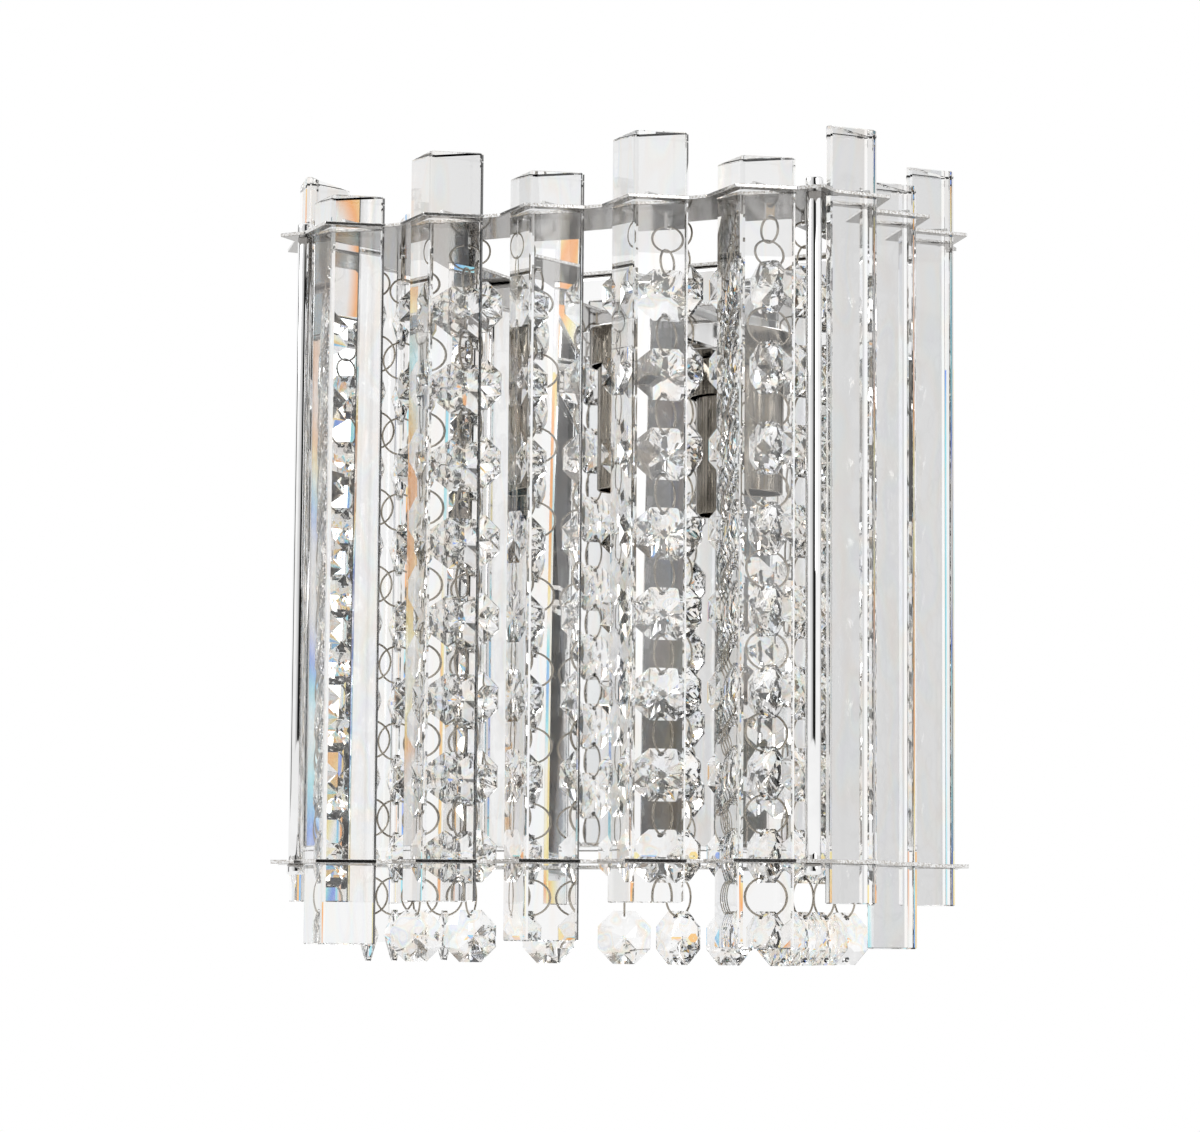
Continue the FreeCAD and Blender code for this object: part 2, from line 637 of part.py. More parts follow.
# ---------------------------------------------------------------- lamp bracket
def lamp_bracket():
    """A flat strip on the pan with a tongue that reaches forward over the lamp holder."""
    body = new_body("lamp_bracket")
    strip = sketch_on(body, "XZ_Plane", "bracket_outline", level="Sizes.pan_depth")
    rectangle(strip, "-Sizes.bracket_length / 2", "Sizes.bracket_length / 2",
              "Sizes.bracket_level", "Sizes.bracket_level + Sizes.bracket_height")
    pad(body, strip, "Sizes.bracket_thickness", "bracket_strip")
    tongue = sketch_on(body, "XY_Plane", "tongue_outline", level=TONGUE)
    half = "Sizes.tongue_width / 2"
    tip = "Sizes.lamp_reach + Sizes.tongue_width / 2"
    corner = "Sizes.tongue_width / 4"
    polygon(tongue, [(f"-{half}", "-Sizes.pan_depth"), (f"-{half}", f"-({tip} - {corner})"),
                     (f"-{half} + {corner}", f"-({tip})"), (f"{half} - {corner}", f"-({tip})"),
                     (half, f"-({tip} - {corner})"), (half, "-Sizes.pan_depth")])
    pad(body, tongue, "Sizes.bracket_thickness", "bracket_tongue")
    hole = sketch_on(body, "XY_Plane", "nipple_hole", level=TONGUE)
    round_hole(hole, "0", "-Sizes.lamp_reach", NIPPLE_HOLE, sides=16)
    pocket(body, hole, "nipple_cut")
    ends = sketch_on(body, "XZ_Plane", "bracket_screw_holes")
    for sign in ("", "-"):
        round_hole(ends, f"{sign}Sizes.bracket_screws / 2", "Sizes.bracket_level + Sizes.bracket_height / 2",
                   SCREW_HOLE)
    pocket(body, ends, "bracket_screw_cuts")
    return node(body, "lamp_bracket")


lamp_bracket()
for sign in (-1, 1):
    x = f"{sign} * Sizes.bracket_screws / 2"
    z = "Sizes.bracket_level + Sizes.bracket_height / 2"
    face = "-(Sizes.pan_depth + Sizes.bracket_thickness)"
    head = along_y(rod("bracket_head", 8, "Sizes.screw_head", "Sizes.screw_head_height"), x, face, z)
    reach = "(Sizes.bracket_thickness + Sizes.pan_wall + Sizes.screw_tip)"
    shank = along_y(rod("bracket_shank", 8, "Sizes.screw_diameter", reach), x, f"{face} + {reach}", z)
    screws.append(fuse("bracket_screw", [head, shank]))
node(group("screw_set", screws), "pan_screws")


# ---------------------------------------------------------------- lamp holder
CUP_FLOOR = f"({TONGUE} - Sizes.cup_wall)"
HOLDER_TOP = f"({CUP_FLOOR} - Sizes.lock_nut_height)"
FLANGE_END = f"({HOLDER_TOP} - Sizes.flange_height)"
SLEEVE_END = f"({FLANGE_END} - Sizes.sleeve_length)"
HOLDER_END = f"({SLEEVE_END} + Sizes.holder_inset)"
BORE_TOP = f"({HOLDER_END} + Sizes.lamp_bore_depth)"
ROUND_SIDES = 24                # sides of the round pieces on the lamp's axis


def lamp_rod(label, sides, diameter, low, high, hollow=False):
    """A rod on the lamp's axis between two levels."""
    return rod(label, sides, diameter, f"({high}) - ({low})", "0", "-Sizes.lamp_reach", low, hollow)


cup_inside = "(Sizes.cup_diameter - 2 * Sizes.cup_wall)"
cup_blank = lamp_rod("cup_blank", ROUND_SIDES, "Sizes.cup_diameter", f"{TONGUE} - Sizes.cup_height", TONGUE)
cup_hollow = lamp_rod("cup_hollow", ROUND_SIDES, cup_inside, f"{TONGUE} - Sizes.cup_height", CUP_FLOOR)
cup_hole = lamp_rod("cup_hole", 16, NIPPLE_HOLE, CUP_FLOOR, TONGUE, hollow=True)
node(cut("cup", cut("cup_shell", cup_blank, cup_hollow), cup_hole), "lamp_cup")

sleeve_inside = "(Sizes.sleeve_diameter - 2 * Sizes.sleeve_wall)"
sleeve_blank = lamp_rod("sleeve_blank", ROUND_SIDES, "Sizes.sleeve_diameter", SLEEVE_END, FLANGE_END)
sleeve_hollow = lamp_rod("sleeve_hollow", ROUND_SIDES, sleeve_inside, SLEEVE_END, FLANGE_END)
node(cut("sleeve", sleeve_blank, sleeve_hollow), "lamp_sleeve")

holder_blank = lamp_rod("holder_blank", ROUND_SIDES, f"{sleeve_inside} - 2 * Sizes.sleeve_play", HOLDER_END,
                        FLANGE_END)
flange = lamp_rod("holder_flange", ROUND_SIDES, f"{cup_inside} - 2 * Sizes.sleeve_play", FLANGE_END, HOLDER_TOP)
lamp_bore = lamp_rod("lamp_bore", 16, "Sizes.shell_diameter + 2 * Sizes.hole_play", HOLDER_END, BORE_TOP,
                     hollow=True)
node(cut("holder", fuse("holder_body", [holder_blank, flange]), lamp_bore), "lamp_holder")

shell_low = f"{BORE_TOP} - Sizes.contact_height - Sizes.contact_gap - Sizes.shell_height"
shell_place = ("Sizes.shell_height", "0", "-Sizes.lamp_reach", shell_low)
shell_blank = rod("shell_blank", ROUND_SIDES, "Sizes.shell_diameter", *shell_place)
shell_hollow = cylinder("shell_hollow", "Sizes.shell_diameter - 2 * Sizes.shell_wall", *shell_place)
node(cut("shell", shell_blank, shell_hollow), "screw_shell")

node(lamp_rod("contact", 12, "Sizes.contact_diameter", f"{BORE_TOP} - Sizes.contact_height", BORE_TOP),
     "centre_contact")

nipple_blank = lamp_rod("nipple_blank", 16, "Sizes.nipple_diameter", HOLDER_TOP, NIPPLE_TOP)
nipple_hollow = lamp_rod("nipple_hollow", 8, "Sizes.nipple_bore", HOLDER_TOP, NIPPLE_TOP)
node(cut("nipple", nipple_blank, nipple_hollow), "threaded_nipple")

lock_nuts = [hex_nut("0", "-Sizes.lamp_reach", level, "Sizes.lock_nut_across", "Sizes.lock_nut_height",
                     NIPPLE_HOLE)
             for level in (f"{TONGUE} + Sizes.bracket_thickness", HOLDER_TOP)]
node(group("lock_nut_pair", lock_nuts), "lock_nuts")


def lamp_lead():
    """The sleeved leads from the nipple, in one bend, through the pan into the wiring space."""
    doc.recompute()
    tongue_top = size("bracket_level") + size("tongue_drop") + size("bracket_thickness")
    nipple_top = tongue_top + size("lock_nut_height") + size("nipple_end")
    start = FreeCAD.Vector(0, -size("lamp_reach"), nipple_top - size("lock_nut_height"))
    bend = size("lead_bend")
    bottom = FreeCAD.Vector(0, -size("lamp_reach"), nipple_top)
    knee = bottom + FreeCAD.Vector(0, bend * (1 - math.cos(math.pi / 4)), bend * math.sin(math.pi / 4))
    level = bottom + FreeCAD.Vector(0, bend, bend)
    end = FreeCAD.Vector(0, -size("pan_wall") - size("bar_thickness"), level.z)
    path = Part.Wire([Part.LineSegment(start, bottom).toShape(),
                      Part.Arc(bottom, knee, level).toShape(),
                      Part.LineSegment(level, end).toShape()])
    radius = size("lead_diameter") / 2
    corners = [start + FreeCAD.Vector(radius * math.cos(turn * math.pi / 3),
                                      radius * math.sin(turn * math.pi / 3), 0) for turn in range(7)]
    section = Part.makePolygon(corners)
    return shape_piece("lead_run", path.makePipeShell([section], True, False))


node(lamp_lead(), "lamp_lead")


# ---------------------------------------------------------------- crystal strings
def octagon_crystal():
    """An eight-sided crystal in the XZ plane, pointed front and back, with two thread holes."""
    half = size("crystal_width") / 2
    corner = half / math.cos(math.pi / 8)
    rim = [FreeCAD.Vector(corner * math.sin((turn + 0.5) * math.pi / 4), 0,
                          corner * math.cos((turn + 0.5) * math.pi / 4)) for turn in range(8)]
    tips = [FreeCAD.Vector(0, side * size("crystal_thickness") / 2, 0) for side in (-1, 1)]
    faces = [Part.Face(Part.makePolygon([tip, rim[turn], rim[(turn + 1) % 8], tip]))
             for tip in tips for turn in range(8)]
    solid = Part.Solid(Part.makeShell(faces))
    reach = size("crystal_hole")
    front = FreeCAD.Vector(0, -size("crystal_thickness") / 2, 0)
    for level in (-1, 1):
        outer = level * (half - size("hole_inset") + reach / 2)
        mouth = [FreeCAD.Vector(-reach * math.cos(math.pi / 6), 0, outer),
                 FreeCAD.Vector(reach * math.cos(math.pi / 6), 0, outer),
                 FreeCAD.Vector(0, 0, outer - level * reach * 1.5)]
        drill = Part.Face(Part.makePolygon([front + point for point in mouth + mouth[:1]]))
        solid = solid.cut(drill.extrude(FreeCAD.Vector(0, size("crystal_thickness"), 0)))
    return solid


def wire_ring(diameter):
    """A six-sided wire ring in the YZ plane, measured between wire centres, about the origin."""
    reach = diameter / 2
    thick = size("wire") / 2
    section = [(reach + thick, 0.0), (reach - thick / 2, thick), (reach - thick / 2, -thick)]
    loops = []
    for out, side in section:
        loops.append([FreeCAD.Vector(side, out * math.sin(turn * math.pi / 3),
                                     out * math.cos(turn * math.pi / 3)) for turn in range(6)])
    faces = []
    for index in range(3):
        near, far = loops[index], loops[(index + 1) % 3]
        for turn in range(6):
            after = (turn + 1) % 6
            faces.append(Part.Face(Part.makePolygon(
                [near[turn], near[after], far[after], far[turn], near[turn]])))
    return Part.Solid(Part.makeShell(faces))


def string_of_crystals(number, x, y, turn):
    """Nine crystals and their rings below one hook of the top plate."""
    hook_hole = top - size("hook_drop") + size("hook_bar") + size("hook_hole") / 2
    small = size("small_ring")
    step = small - size("wire")            # each small ring hangs inside the one above
    rings = []
    for index, quarter in enumerate((90, 0)):
        ring = wire_ring(small)
        ring.translate(FreeCAD.Vector(0, 0, hook_hole - small / 2 - index * step))
        ring.rotate(FreeCAD.Vector(0, 0, 0), FreeCAD.Vector(0, 0, 1), quarter)
        rings.append(ring)
    first = hook_hole - step - small - reach_to_hole
    crystals = []
    for index in range(int(size("crystal_count"))):
        crystal = octagon_crystal()
        middle = first - index * size("crystal_pitch")
        crystal.translate(FreeCAD.Vector(0, 0, middle))
        crystals.append(crystal)
        if index:
            ring = wire_ring(large_ring)
            ring.translate(FreeCAD.Vector(0, 0, middle + size("crystal_pitch") / 2))
            rings.append(ring)
    for kind, pieces in (("crystals", crystals), ("rings", rings)):
        whole = shape_piece(f"string_{number}_{kind}_group", Part.makeCompound(pieces))
        whole.Placement = FreeCAD.Placement(FreeCAD.Vector(x, y, 0),
                                            FreeCAD.Rotation(FreeCAD.Vector(0, 0, 1), turn))
        node(whole, f"string_{number}_{kind}")


def hook(x, y, turn):
    """A small tab under the top plate with a hole for the first ring."""
    width, thick = size("hook_width"), size("hook_thickness")
    bottom = top - size("hook_drop")
    tab = Part.makeBox(thick, width, size("hook_drop"), FreeCAD.Vector(-thick / 2, -width / 2, bottom))
    opening = size("hook_hole")
    tab = tab.cut(Part.makeBox(thick, opening, opening, FreeCAD.Vector(
        -thick / 2, -opening / 2, bottom + size("hook_bar"))))
    tab.Placement = FreeCAD.Placement(FreeCAD.Vector(x, y, 0),
                                      FreeCAD.Rotation(FreeCAD.Vector(0, 0, 1), turn))
    return tab


reach_to_hole = size("crystal_width") / 2 - size("hole_inset")
large_ring = size("crystal_pitch") - 2 * reach_to_hole
front_row = -size("ridge_reach") + size("string_setback")
side_row = size("side_reach") - size("side_string_setback")

# Hook places along the front, from the middle, and the turn of each string's crystals.
FRONT_STRINGS = ((-68.0, 40.0), (-43.5, 12.0), (-9.0, 10.0), (24.0, 26.0), (47.0, -14.0), (68.5, -12.0))
SIDE_STRINGS = 4                # strings on each side
SIDE_TURN = 55.0                # turn of their crystals
places = [(across, front_row, turn) for across, turn in FRONT_STRINGS]
for sign in (-1, 1):
    for index in range(SIDE_STRINGS):
        places.append((sign * side_row, front_row + index * size("side_string_pitch"),
                       sign * SIDE_TURN))
hooks = []
for number, (x, y, turn) in enumerate(places, start=1):
    string_of_crystals(number, x, y, turn)
    hooks.append(hook(x, y, turn))
node(shape_piece("hook_group", Part.makeCompound(hooks)), "string_hooks")


# ---------------------------------------------------------------- check and write
doc.recompute()
for item in doc.Objects:
    if "Invalid" in item.State or "Error" in item.State:
        raise RuntimeError(f"{item.Label} failed: {item.State}")
os.makedirs("parts", exist_ok=True)
for piece in nodes:
    shape = piece.Shape
    if shape.isNull() or not shape.isValid() or not shape.Solids:
        raise RuntimeError(f"{piece.Label} has no valid solid")
    shape.exportStep(f"parts/{piece.Label}.step")
print(len(nodes), "nodes written")
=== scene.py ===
"""Looks of a crystal wall sconce: cut glass prisms in scalloped chrome plates, strings of octagon
crystals on wire rings, and a lamp holder in front of a mirror-chrome back pan.

Every piece is built in metres in the frame's own space: +Z up, the wall at Y = 0, the front facing -Y.
"""

import json
import logging
import math
from abc import ABC, abstractmethod
from contextlib import contextmanager
from dataclasses import dataclass
from enum import Enum
from functools import cache
from typing import Callable, Iterator, Optional, Sequence, Union

import bmesh
import bpy
from mathutils import Matrix, Vector


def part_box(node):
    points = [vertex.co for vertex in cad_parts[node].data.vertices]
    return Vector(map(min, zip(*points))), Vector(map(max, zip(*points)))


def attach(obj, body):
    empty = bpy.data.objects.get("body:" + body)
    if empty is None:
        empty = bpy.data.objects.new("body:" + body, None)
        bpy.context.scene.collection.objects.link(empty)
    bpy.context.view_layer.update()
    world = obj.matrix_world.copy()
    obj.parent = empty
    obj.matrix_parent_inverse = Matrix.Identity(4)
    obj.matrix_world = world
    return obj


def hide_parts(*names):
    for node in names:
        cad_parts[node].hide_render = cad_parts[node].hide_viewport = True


log = logging.getLogger("sconce")
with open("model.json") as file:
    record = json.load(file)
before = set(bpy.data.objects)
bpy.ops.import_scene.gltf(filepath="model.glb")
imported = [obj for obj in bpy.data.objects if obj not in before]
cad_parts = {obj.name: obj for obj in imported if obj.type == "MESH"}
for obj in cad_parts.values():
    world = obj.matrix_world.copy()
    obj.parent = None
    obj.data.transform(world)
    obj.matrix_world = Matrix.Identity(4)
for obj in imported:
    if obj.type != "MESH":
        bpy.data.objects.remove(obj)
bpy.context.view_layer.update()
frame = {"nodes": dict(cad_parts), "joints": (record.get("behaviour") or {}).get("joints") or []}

Number = Union[float, "Shade"]
Colour = tuple[float, float, float, float]
Stretch = tuple[float, float, float]
Outline = list[tuple[float, float]]

MM = 0.001
ROOT_BODY = "sconce"
EVEN: Stretch = (1.0, 1.0, 1.0)
WHITE: Colour = (1.0, 1.0, 1.0, 1.0)
TO_FRONT = Matrix.Rotation(math.radians(90.0), 4, "X")      # lays an upright axis towards the front
QUARTER_TURN = Matrix.Rotation(math.radians(90.0), 4, "Z")
CORNER_MIDDLE = 0.3         # share of a broken corner's width at which its middle point stands in


def grey(value: float) -> Colour:
    """An even colour of one brightness."""
    return (value, value, value, 1.0)


# ---------------------- shader maths
@dataclass
class Shade:
    """One node socket that can be used in plain arithmetic."""

    tree: bpy.types.NodeTree
    socket: bpy.types.NodeSocket

    def _math(self, operation: str, first: Number, second: Number) -> "Shade":
        """Adds one Math node.

        Args:
            operation: The Math node's operation.
            first: Its first value.
            second: Its second value.

        Returns:
            The node's result.
        """
        node = self.tree.nodes.new("ShaderNodeMath")
        node.operation = operation
        for socket, value in zip(node.inputs, (first, second)):
            if isinstance(value, Shade):
                self.tree.links.new(value.socket, socket)
            else:
                socket.default_value = value
        return Shade(self.tree, node.outputs[0])

    def __add__(self, other: Number) -> "Shade":
        """This value plus another."""
        return self._math("ADD", self, other)

    def __sub__(self, other: Number) -> "Shade":
        """This value less another."""
        return self._math("SUBTRACT", self, other)

    def __rsub__(self, other: float) -> "Shade":
        """A number less this value."""
        return self._math("SUBTRACT", other, self)

    def __mul__(self, other: Number) -> "Shade":
        """This value times another."""
        return self._math("MULTIPLY", self, other)

    __radd__ = __add__
    __rmul__ = __mul__

    def clamped(self) -> "Shade":
        """This value held between 0 and 1."""
        return self._math("MAXIMUM", self._math("MINIMUM", self, 1.0), 0.0)

    def larger(self, other: Number) -> "Shade":
        """The larger of this value and another."""
        return self._math("MAXIMUM", self, other)


class Nodes:
    """A node tree in the making, and the few ways that nodes are added to it."""

    def __init__(self, tree: bpy.types.NodeTree, output: str) -> None:
        """Empties a tree and gives it its output node.

        Args:
            tree: The tree of a new material or world.
            output: The output node's type.
        """
        self.tree = tree
        tree.nodes.clear()
        self.output = tree.nodes.new(output)

    def node(self, kind: str, settings: Optional[dict] = None, **sockets: object) -> bpy.types.Node:
        """Adds a node.

        Args:
            kind: The node's type.
            settings: Properties of the node, set before its sockets.
            sockets: Values or links by socket name, with underscores for spaces.

        Returns:
            The new node.
        """
        made = self.tree.nodes.new(kind)
        for name, value in (settings or {}).items():
            if name == "stops":
                self._set_stops(made, value)
            else:
                setattr(made, name, value)
        for name, value in sockets.items():
            self.feed(made.inputs[name.replace("_", " ")], value)
        return made

    @staticmethod
    def _set_stops(ramp: bpy.types.Node, stops: Sequence[tuple[float, Colour]]) -> None:
        """Gives a ColorRamp its stops, in rising order."""
        elements = ramp.color_ramp.elements
        for index, (place, colour) in enumerate(stops):
            element = elements[index] if index < len(elements) else elements.new(place)
            element.position = place
            element.color = colour

    def feed(self, socket: bpy.types.NodeSocket, value: object) -> None:
        """Links or sets one input socket."""
        if isinstance(value, Shade):
            self.tree.links.new(value.socket, socket)
        elif isinstance(value, bpy.types.NodeSocket):
            self.tree.links.new(value, socket)
        else:
            socket.default_value = value

    def seen(self) -> Shade:
        """1 where the eye, a reflection or a refraction looks, and 0 for any other light."""
        path = self.node("ShaderNodeLightPath")
        eye, glossy, through = (Shade(self.tree, path.outputs[f"Is {kind} Ray"])
                                for kind in ("Camera", "Glossy", "Transmission"))
        return eye.larger(glossy).larger(through)

    def mixed(self, share: Number, first: bpy.types.Node, second: bpy.types.Node) -> bpy.types.Node:
        """Mixes two shaders.

        Args:
            share: How much of the second shows.
            first: The shader that shows at a share of 0.
            second: The shader that shows at a share of 1.

        Returns:
            The mixed shader.
        """
        made = self.node("ShaderNodeMixShader")
        for socket, value in zip(made.inputs, (share, first.outputs[0], second.outputs[0])):
            self.feed(socket, value)
        return made

    def show(self, shader: bpy.types.Node) -> None:
        """Makes a shader what the tree shows."""
        self.feed(self.output.inputs["Surface"], shader.outputs[0])


class Paint(Nodes):
    """A material in the making."""

    MIX_FACTOR, MIX_FIRST, MIX_SECOND, MIX_RESULT = 0, 6, 7, 2      # a colour Mix node's own sockets

    def __init__(self, name: str) -> None:
        """Starts an empty material.

        Args:
            name: The material's name.
        """
        self.material = bpy.data.materials.new(name)
        self.material.use_nodes = True
        super().__init__(self.material.node_tree, "ShaderNodeOutputMaterial")

    def noise(self, scale: float, detail: float, roughness: float = 0.5, stretch: Stretch = EVEN) -> Shade:
        """A noise pattern on the object's own coordinates.

        Args:
            scale: Repeats per metre.
            detail: Octaves of the noise.
            roughness: How strong the fine octaves are.
            stretch: Scale of the pattern along each axis.

        Returns:
            The noise, from 0 to 1.
        """
        place = self.node("ShaderNodeTexCoord").outputs["Object"]
        mapping = self.node("ShaderNodeMapping", Vector=place, Scale=stretch)
        made = self.node("ShaderNodeTexNoise", Vector=mapping.outputs[0], Scale=scale,
                         Detail=detail, Roughness=roughness)
        return Shade(self.tree, made.outputs[0])

    def ramp(self, value: Shade, *stops: tuple[float, Colour]) -> bpy.types.NodeSocket:
        """Colours for a value from 0 to 1."""
        return self.node("ShaderNodeValToRGB", {"stops": stops}, Fac=value).outputs[0]

    def multiplied(self, first: bpy.types.NodeSocket, second: bpy.types.NodeSocket,
                   share: float) -> bpy.types.NodeSocket:
        """One colour times another.

        Args:
            first: The colour that is multiplied.
            second: The colour that it is multiplied by.
            share: How much of the second counts.

        Returns:
            The product's socket.
        """
        made = self.node("ShaderNodeMix", {"data_type": "RGBA", "blend_type": "MULTIPLY"})
        for index, value in ((self.MIX_FACTOR, share), (self.MIX_FIRST, first), (self.MIX_SECOND, second)):
            self.feed(made.inputs[index], value)
        return made.outputs[self.MIX_RESULT]

    def bump(self, height: Shade, strength: float, distance: float) -> bpy.types.NodeSocket:
        """A bumped normal.

        Args:
            height: The pattern's height, from 0 to 1.
            strength: Share of the bump that shows.
            distance: The pattern's full height in metres.

        Returns:
            The normal's socket.
        """
        return self.node("ShaderNodeBump", Height=height, Strength=strength,
                         Distance=distance).outputs[0]

    def principled(self, **sockets: object) -> bpy.types.Material:
        """Gives the material one Principled surface.

        Args:
            sockets: Values or links by socket name, with underscores for spaces.

        Returns:
            The finished material.
        """
        self.show(self.node("ShaderNodeBsdfPrincipled", **sockets))
        return self.material


# ---------------------- finishes
class Slot(Enum):
    """The record's material slots."""

    CHROME = "chrome"
    MIRROR = "mirror_chrome"
    ZINC = "zinc_steel"
    PRISM = "prism_glass"
    CRYSTAL = "crystal_glass"
    WIRE = "ring_wire"
    HOLDER = "holder_plastic"
    BRASS = "brass"
    LEAD = "lead_sleeve"


@dataclass(frozen=True)
class Surface(ABC):
    """What each finish has: its material's name and the record's slot that it belongs to."""

    name: str
    slot: Slot

    @abstractmethod
    def make(self) -> bpy.types.Material:
        """Builds the material."""


@dataclass(frozen=True)
class PlatedMetal(Surface):
    """Chrome or zinc plating: a tint, with faint cloudy wear and polishing marks in the gloss."""

    tint: Colour
    dull: Colour
    roughness: float
    haze: float = 0.05
    grain: float = 60.0
    marks_per_grain: float = 14.0
    marks_stretch: Stretch = (1.0, 1.0, 0.08)
    dull_until: float = 0.35
    bright_from: float = 0.6

    def make(self) -> bpy.types.Material:
        """Builds the material."""
        paint = Paint(self.name)
        cloud = paint.noise(self.grain, detail=4.0)
        marks = paint.noise(self.grain * self.marks_per_grain, detail=2.0, stretch=self.marks_stretch)
        colour = paint.ramp(cloud, (self.dull_until, self.dull), (self.bright_from, self.tint))
        gloss = (cloud * marks * self.haze + self.roughness).clamped()
        return paint.principled(Base_Color=colour, Metallic=1.0, Roughness=gloss)


@dataclass(frozen=True)
class PlateMetal(Surface):
    """Bright sheet whose lower faces carry painted shade, and a fine speckle of painted reflections all over.
    """

    bright: Colour
    # colour of the faces that turn down: painted shade
    under: Colour
    # brownish speckle: painted reflection
    painted_speck: Colour
    grain: float = 1400.0
    clouds: float = 40.0
    bright_until: float = 0.65
    painted_shade_from: float = 0.92
    speck_until: float = 0.42
    unspeckled_from: float = 0.55
    speck_share: float = 0.85
    roughness: float = 0.06
    haze: float = 0.12

    def make(self) -> bpy.types.Material:
        """Builds the material."""
        paint = Paint(self.name)
        fine = paint.noise(self.grain, detail=3.0, roughness=0.7)
        cloud = paint.noise(self.clouds, detail=3.0)
        normal = paint.node("ShaderNodeNewGeometry").outputs["Normal"]
        upward = Shade(paint.tree, paint.node("ShaderNodeSeparateXYZ", Vector=normal).outputs["Z"])
        # painted shade: faces that turn down take the dark under colour
        painted_shade_mask = ((1 - upward) * 0.5).clamped()
        tone = paint.ramp(painted_shade_mask, (self.bright_until, self.bright), (self.painted_shade_from, self.under))
        # painted reflection: a fine brownish speckle multiplied into the colour everywhere
        painted_specks = paint.ramp(fine, (self.speck_until, self.painted_speck), (self.unspeckled_from, WHITE))
        return paint.principled(Base_Color=paint.multiplied(tone, painted_specks, self.speck_share), Metallic=1.0,
                                Roughness=(cloud * self.haze + self.roughness).clamped())


@dataclass(frozen=True)
class CutGlass(Surface):
    """Clear cut glass with faint clouds, and painted rainbow fire, as dispersion gives, in small patches of
    its tint.
    """

    clearness: float
    index: float
    fire: float
    fire_scale: float
    fire_stretch: Stretch = EVEN
    cloud: float = 0.985
    fire_from: float = 0.5
    fire_until: float = 0.68
    hues: Sequence[tuple[float, tuple[float, float, float]]] = (
        (0.55, (1.0, 0.62, 0.3)), (0.58, (1.0, 0.95, 0.5)),
        (0.61, (0.5, 0.95, 1.0)), (0.64, (0.5, 0.55, 1.0)))

    def painted_glint(self, hue: tuple[float, float, float]) -> Colour:
        """A painted rainbow hue of dispersion fire, faded towards clear glass."""
        faded = [self.clearness * (1 - self.fire * (1 - part)) for part in hue]
        return (*faded, 1.0)

    def make(self) -> bpy.types.Material:
        """Builds the material."""
        paint = Paint(self.name)
        clear = grey(self.clearness)
        spot = paint.noise(self.fire_scale, detail=1.0, stretch=self.fire_stretch)
        # painted dispersion fire: rainbow hues put into the tint
        painted_glints = [(place, self.painted_glint(hue)) for place, hue in self.hues]
        tint = paint.ramp(spot, (0.0, grey(self.clearness * self.cloud)), (self.fire_from, clear),
                          *painted_glints, (self.fire_until, clear))
        return paint.principled(Base_Color=tint, IOR=self.index, Transmission_Weight=1.0, Roughness=0.0)


@dataclass(frozen=True)
class Moulded(Surface):
    """Moulded plastic or glazed insulation: mottled colour and a fine orange-peel surface."""

    light: Colour
    dark: Colour
    roughness: float
    haze: float = 0.2
    mottling: float = 140.0
    skin: float = 1500.0
    relief: float = 0.00003
    relief_share: float = 0.6
    dark_until: float = 0.3
    light_from: float = 0.7

    def make(self) -> bpy.types.Material:
        """Builds the material."""
        paint = Paint(self.name)
        mottle = paint.noise(self.mottling, detail=5.0)
        skin = paint.noise(self.skin, detail=2.0)
        colour = paint.ramp(mottle, (self.dark_until, self.dark), (self.light_from, self.light))
        return paint.principled(Base_Color=colour, Roughness=(mottle * self.haze + self.roughness).clamped(),
                                Normal=paint.bump(skin, self.relief_share, self.relief))


class Finish(Enum):
    """The sconce's finishes, each named for what it covers."""

    CHROME = PlatedMetal("plate_chrome", Slot.CHROME, grey(0.9), (0.8, 0.79, 0.77, 1.0), 0.03)
    MIRROR = PlatedMetal("pan_mirror_chrome", Slot.MIRROR, grey(0.95), grey(0.9), 0.015,
                         haze=0.03, grain=18.0)
    # plate sheet: under is painted shade on the faces that turn down
    PLATE = PlateMetal("plate_sheet", Slot.CHROME, grey(0.86), under=(0.34, 0.33, 0.32, 1.0),
                       # the brownish speckle colour is a painted reflection
                       painted_speck=(0.5, 0.46, 0.41, 1.0))
    POST = PlatedMetal("post_chrome", Slot.CHROME, grey(0.92), grey(0.85), 0.02)
    WIRE = PlatedMetal("ring_nickel", Slot.WIRE, (0.46, 0.42, 0.36, 1.0), (0.27, 0.24, 0.2, 1.0), 0.12)
    ZINC = PlatedMetal("zinc_plating", Slot.ZINC, grey(0.62), (0.45, 0.45, 0.43, 1.0), 0.32, haze=0.2)
    BRASS = PlatedMetal("shell_brass", Slot.BRASS, (0.8, 0.62, 0.32, 1.0), (0.6, 0.45, 0.22, 1.0), 0.22)
    SLEEVE = PlatedMetal("sleeve_nickel", Slot.CHROME, (0.33, 0.3, 0.26, 1.0), (0.2, 0.18, 0.15, 1.0), 0.1,
                         haze=0.1, grain=90.0)
    # fire: strength of the painted rainbow hues in the glass's tint
    PRISM = CutGlass("prism_glass", Slot.PRISM, clearness=0.965, index=1.52, fire=0.12,
                     fire_scale=70.0, fire_stretch=(1.0, 1.0, 0.3))
    CRYSTAL = CutGlass("crystal_glass", Slot.CRYSTAL, clearness=0.985, index=1.56, fire=0.3,
                       fire_scale=120.0)
    HOLDER = Moulded("holder_plastic", Slot.HOLDER, (0.88, 0.7, 0.44, 1.0), (0.78, 0.6, 0.36, 1.0), 0.45)
    LEAD = Moulded("lead_sleeve", Slot.LEAD, grey(0.85), grey(0.72), 0.5)


@cache
def material(finish: Finish) -> bpy.types.Material:
    """A finish's material, made once."""
    return finish.value.make()


# ---------------------- mesh helpers
def mesh_of(bm: bmesh.types.BMesh, name: str) -> bpy.types.Mesh:
    """Turns a bmesh into a mesh, and frees it."""
    mesh = bpy.data.meshes.new(name)
    bm.to_mesh(mesh)
    bm.free()
    return mesh


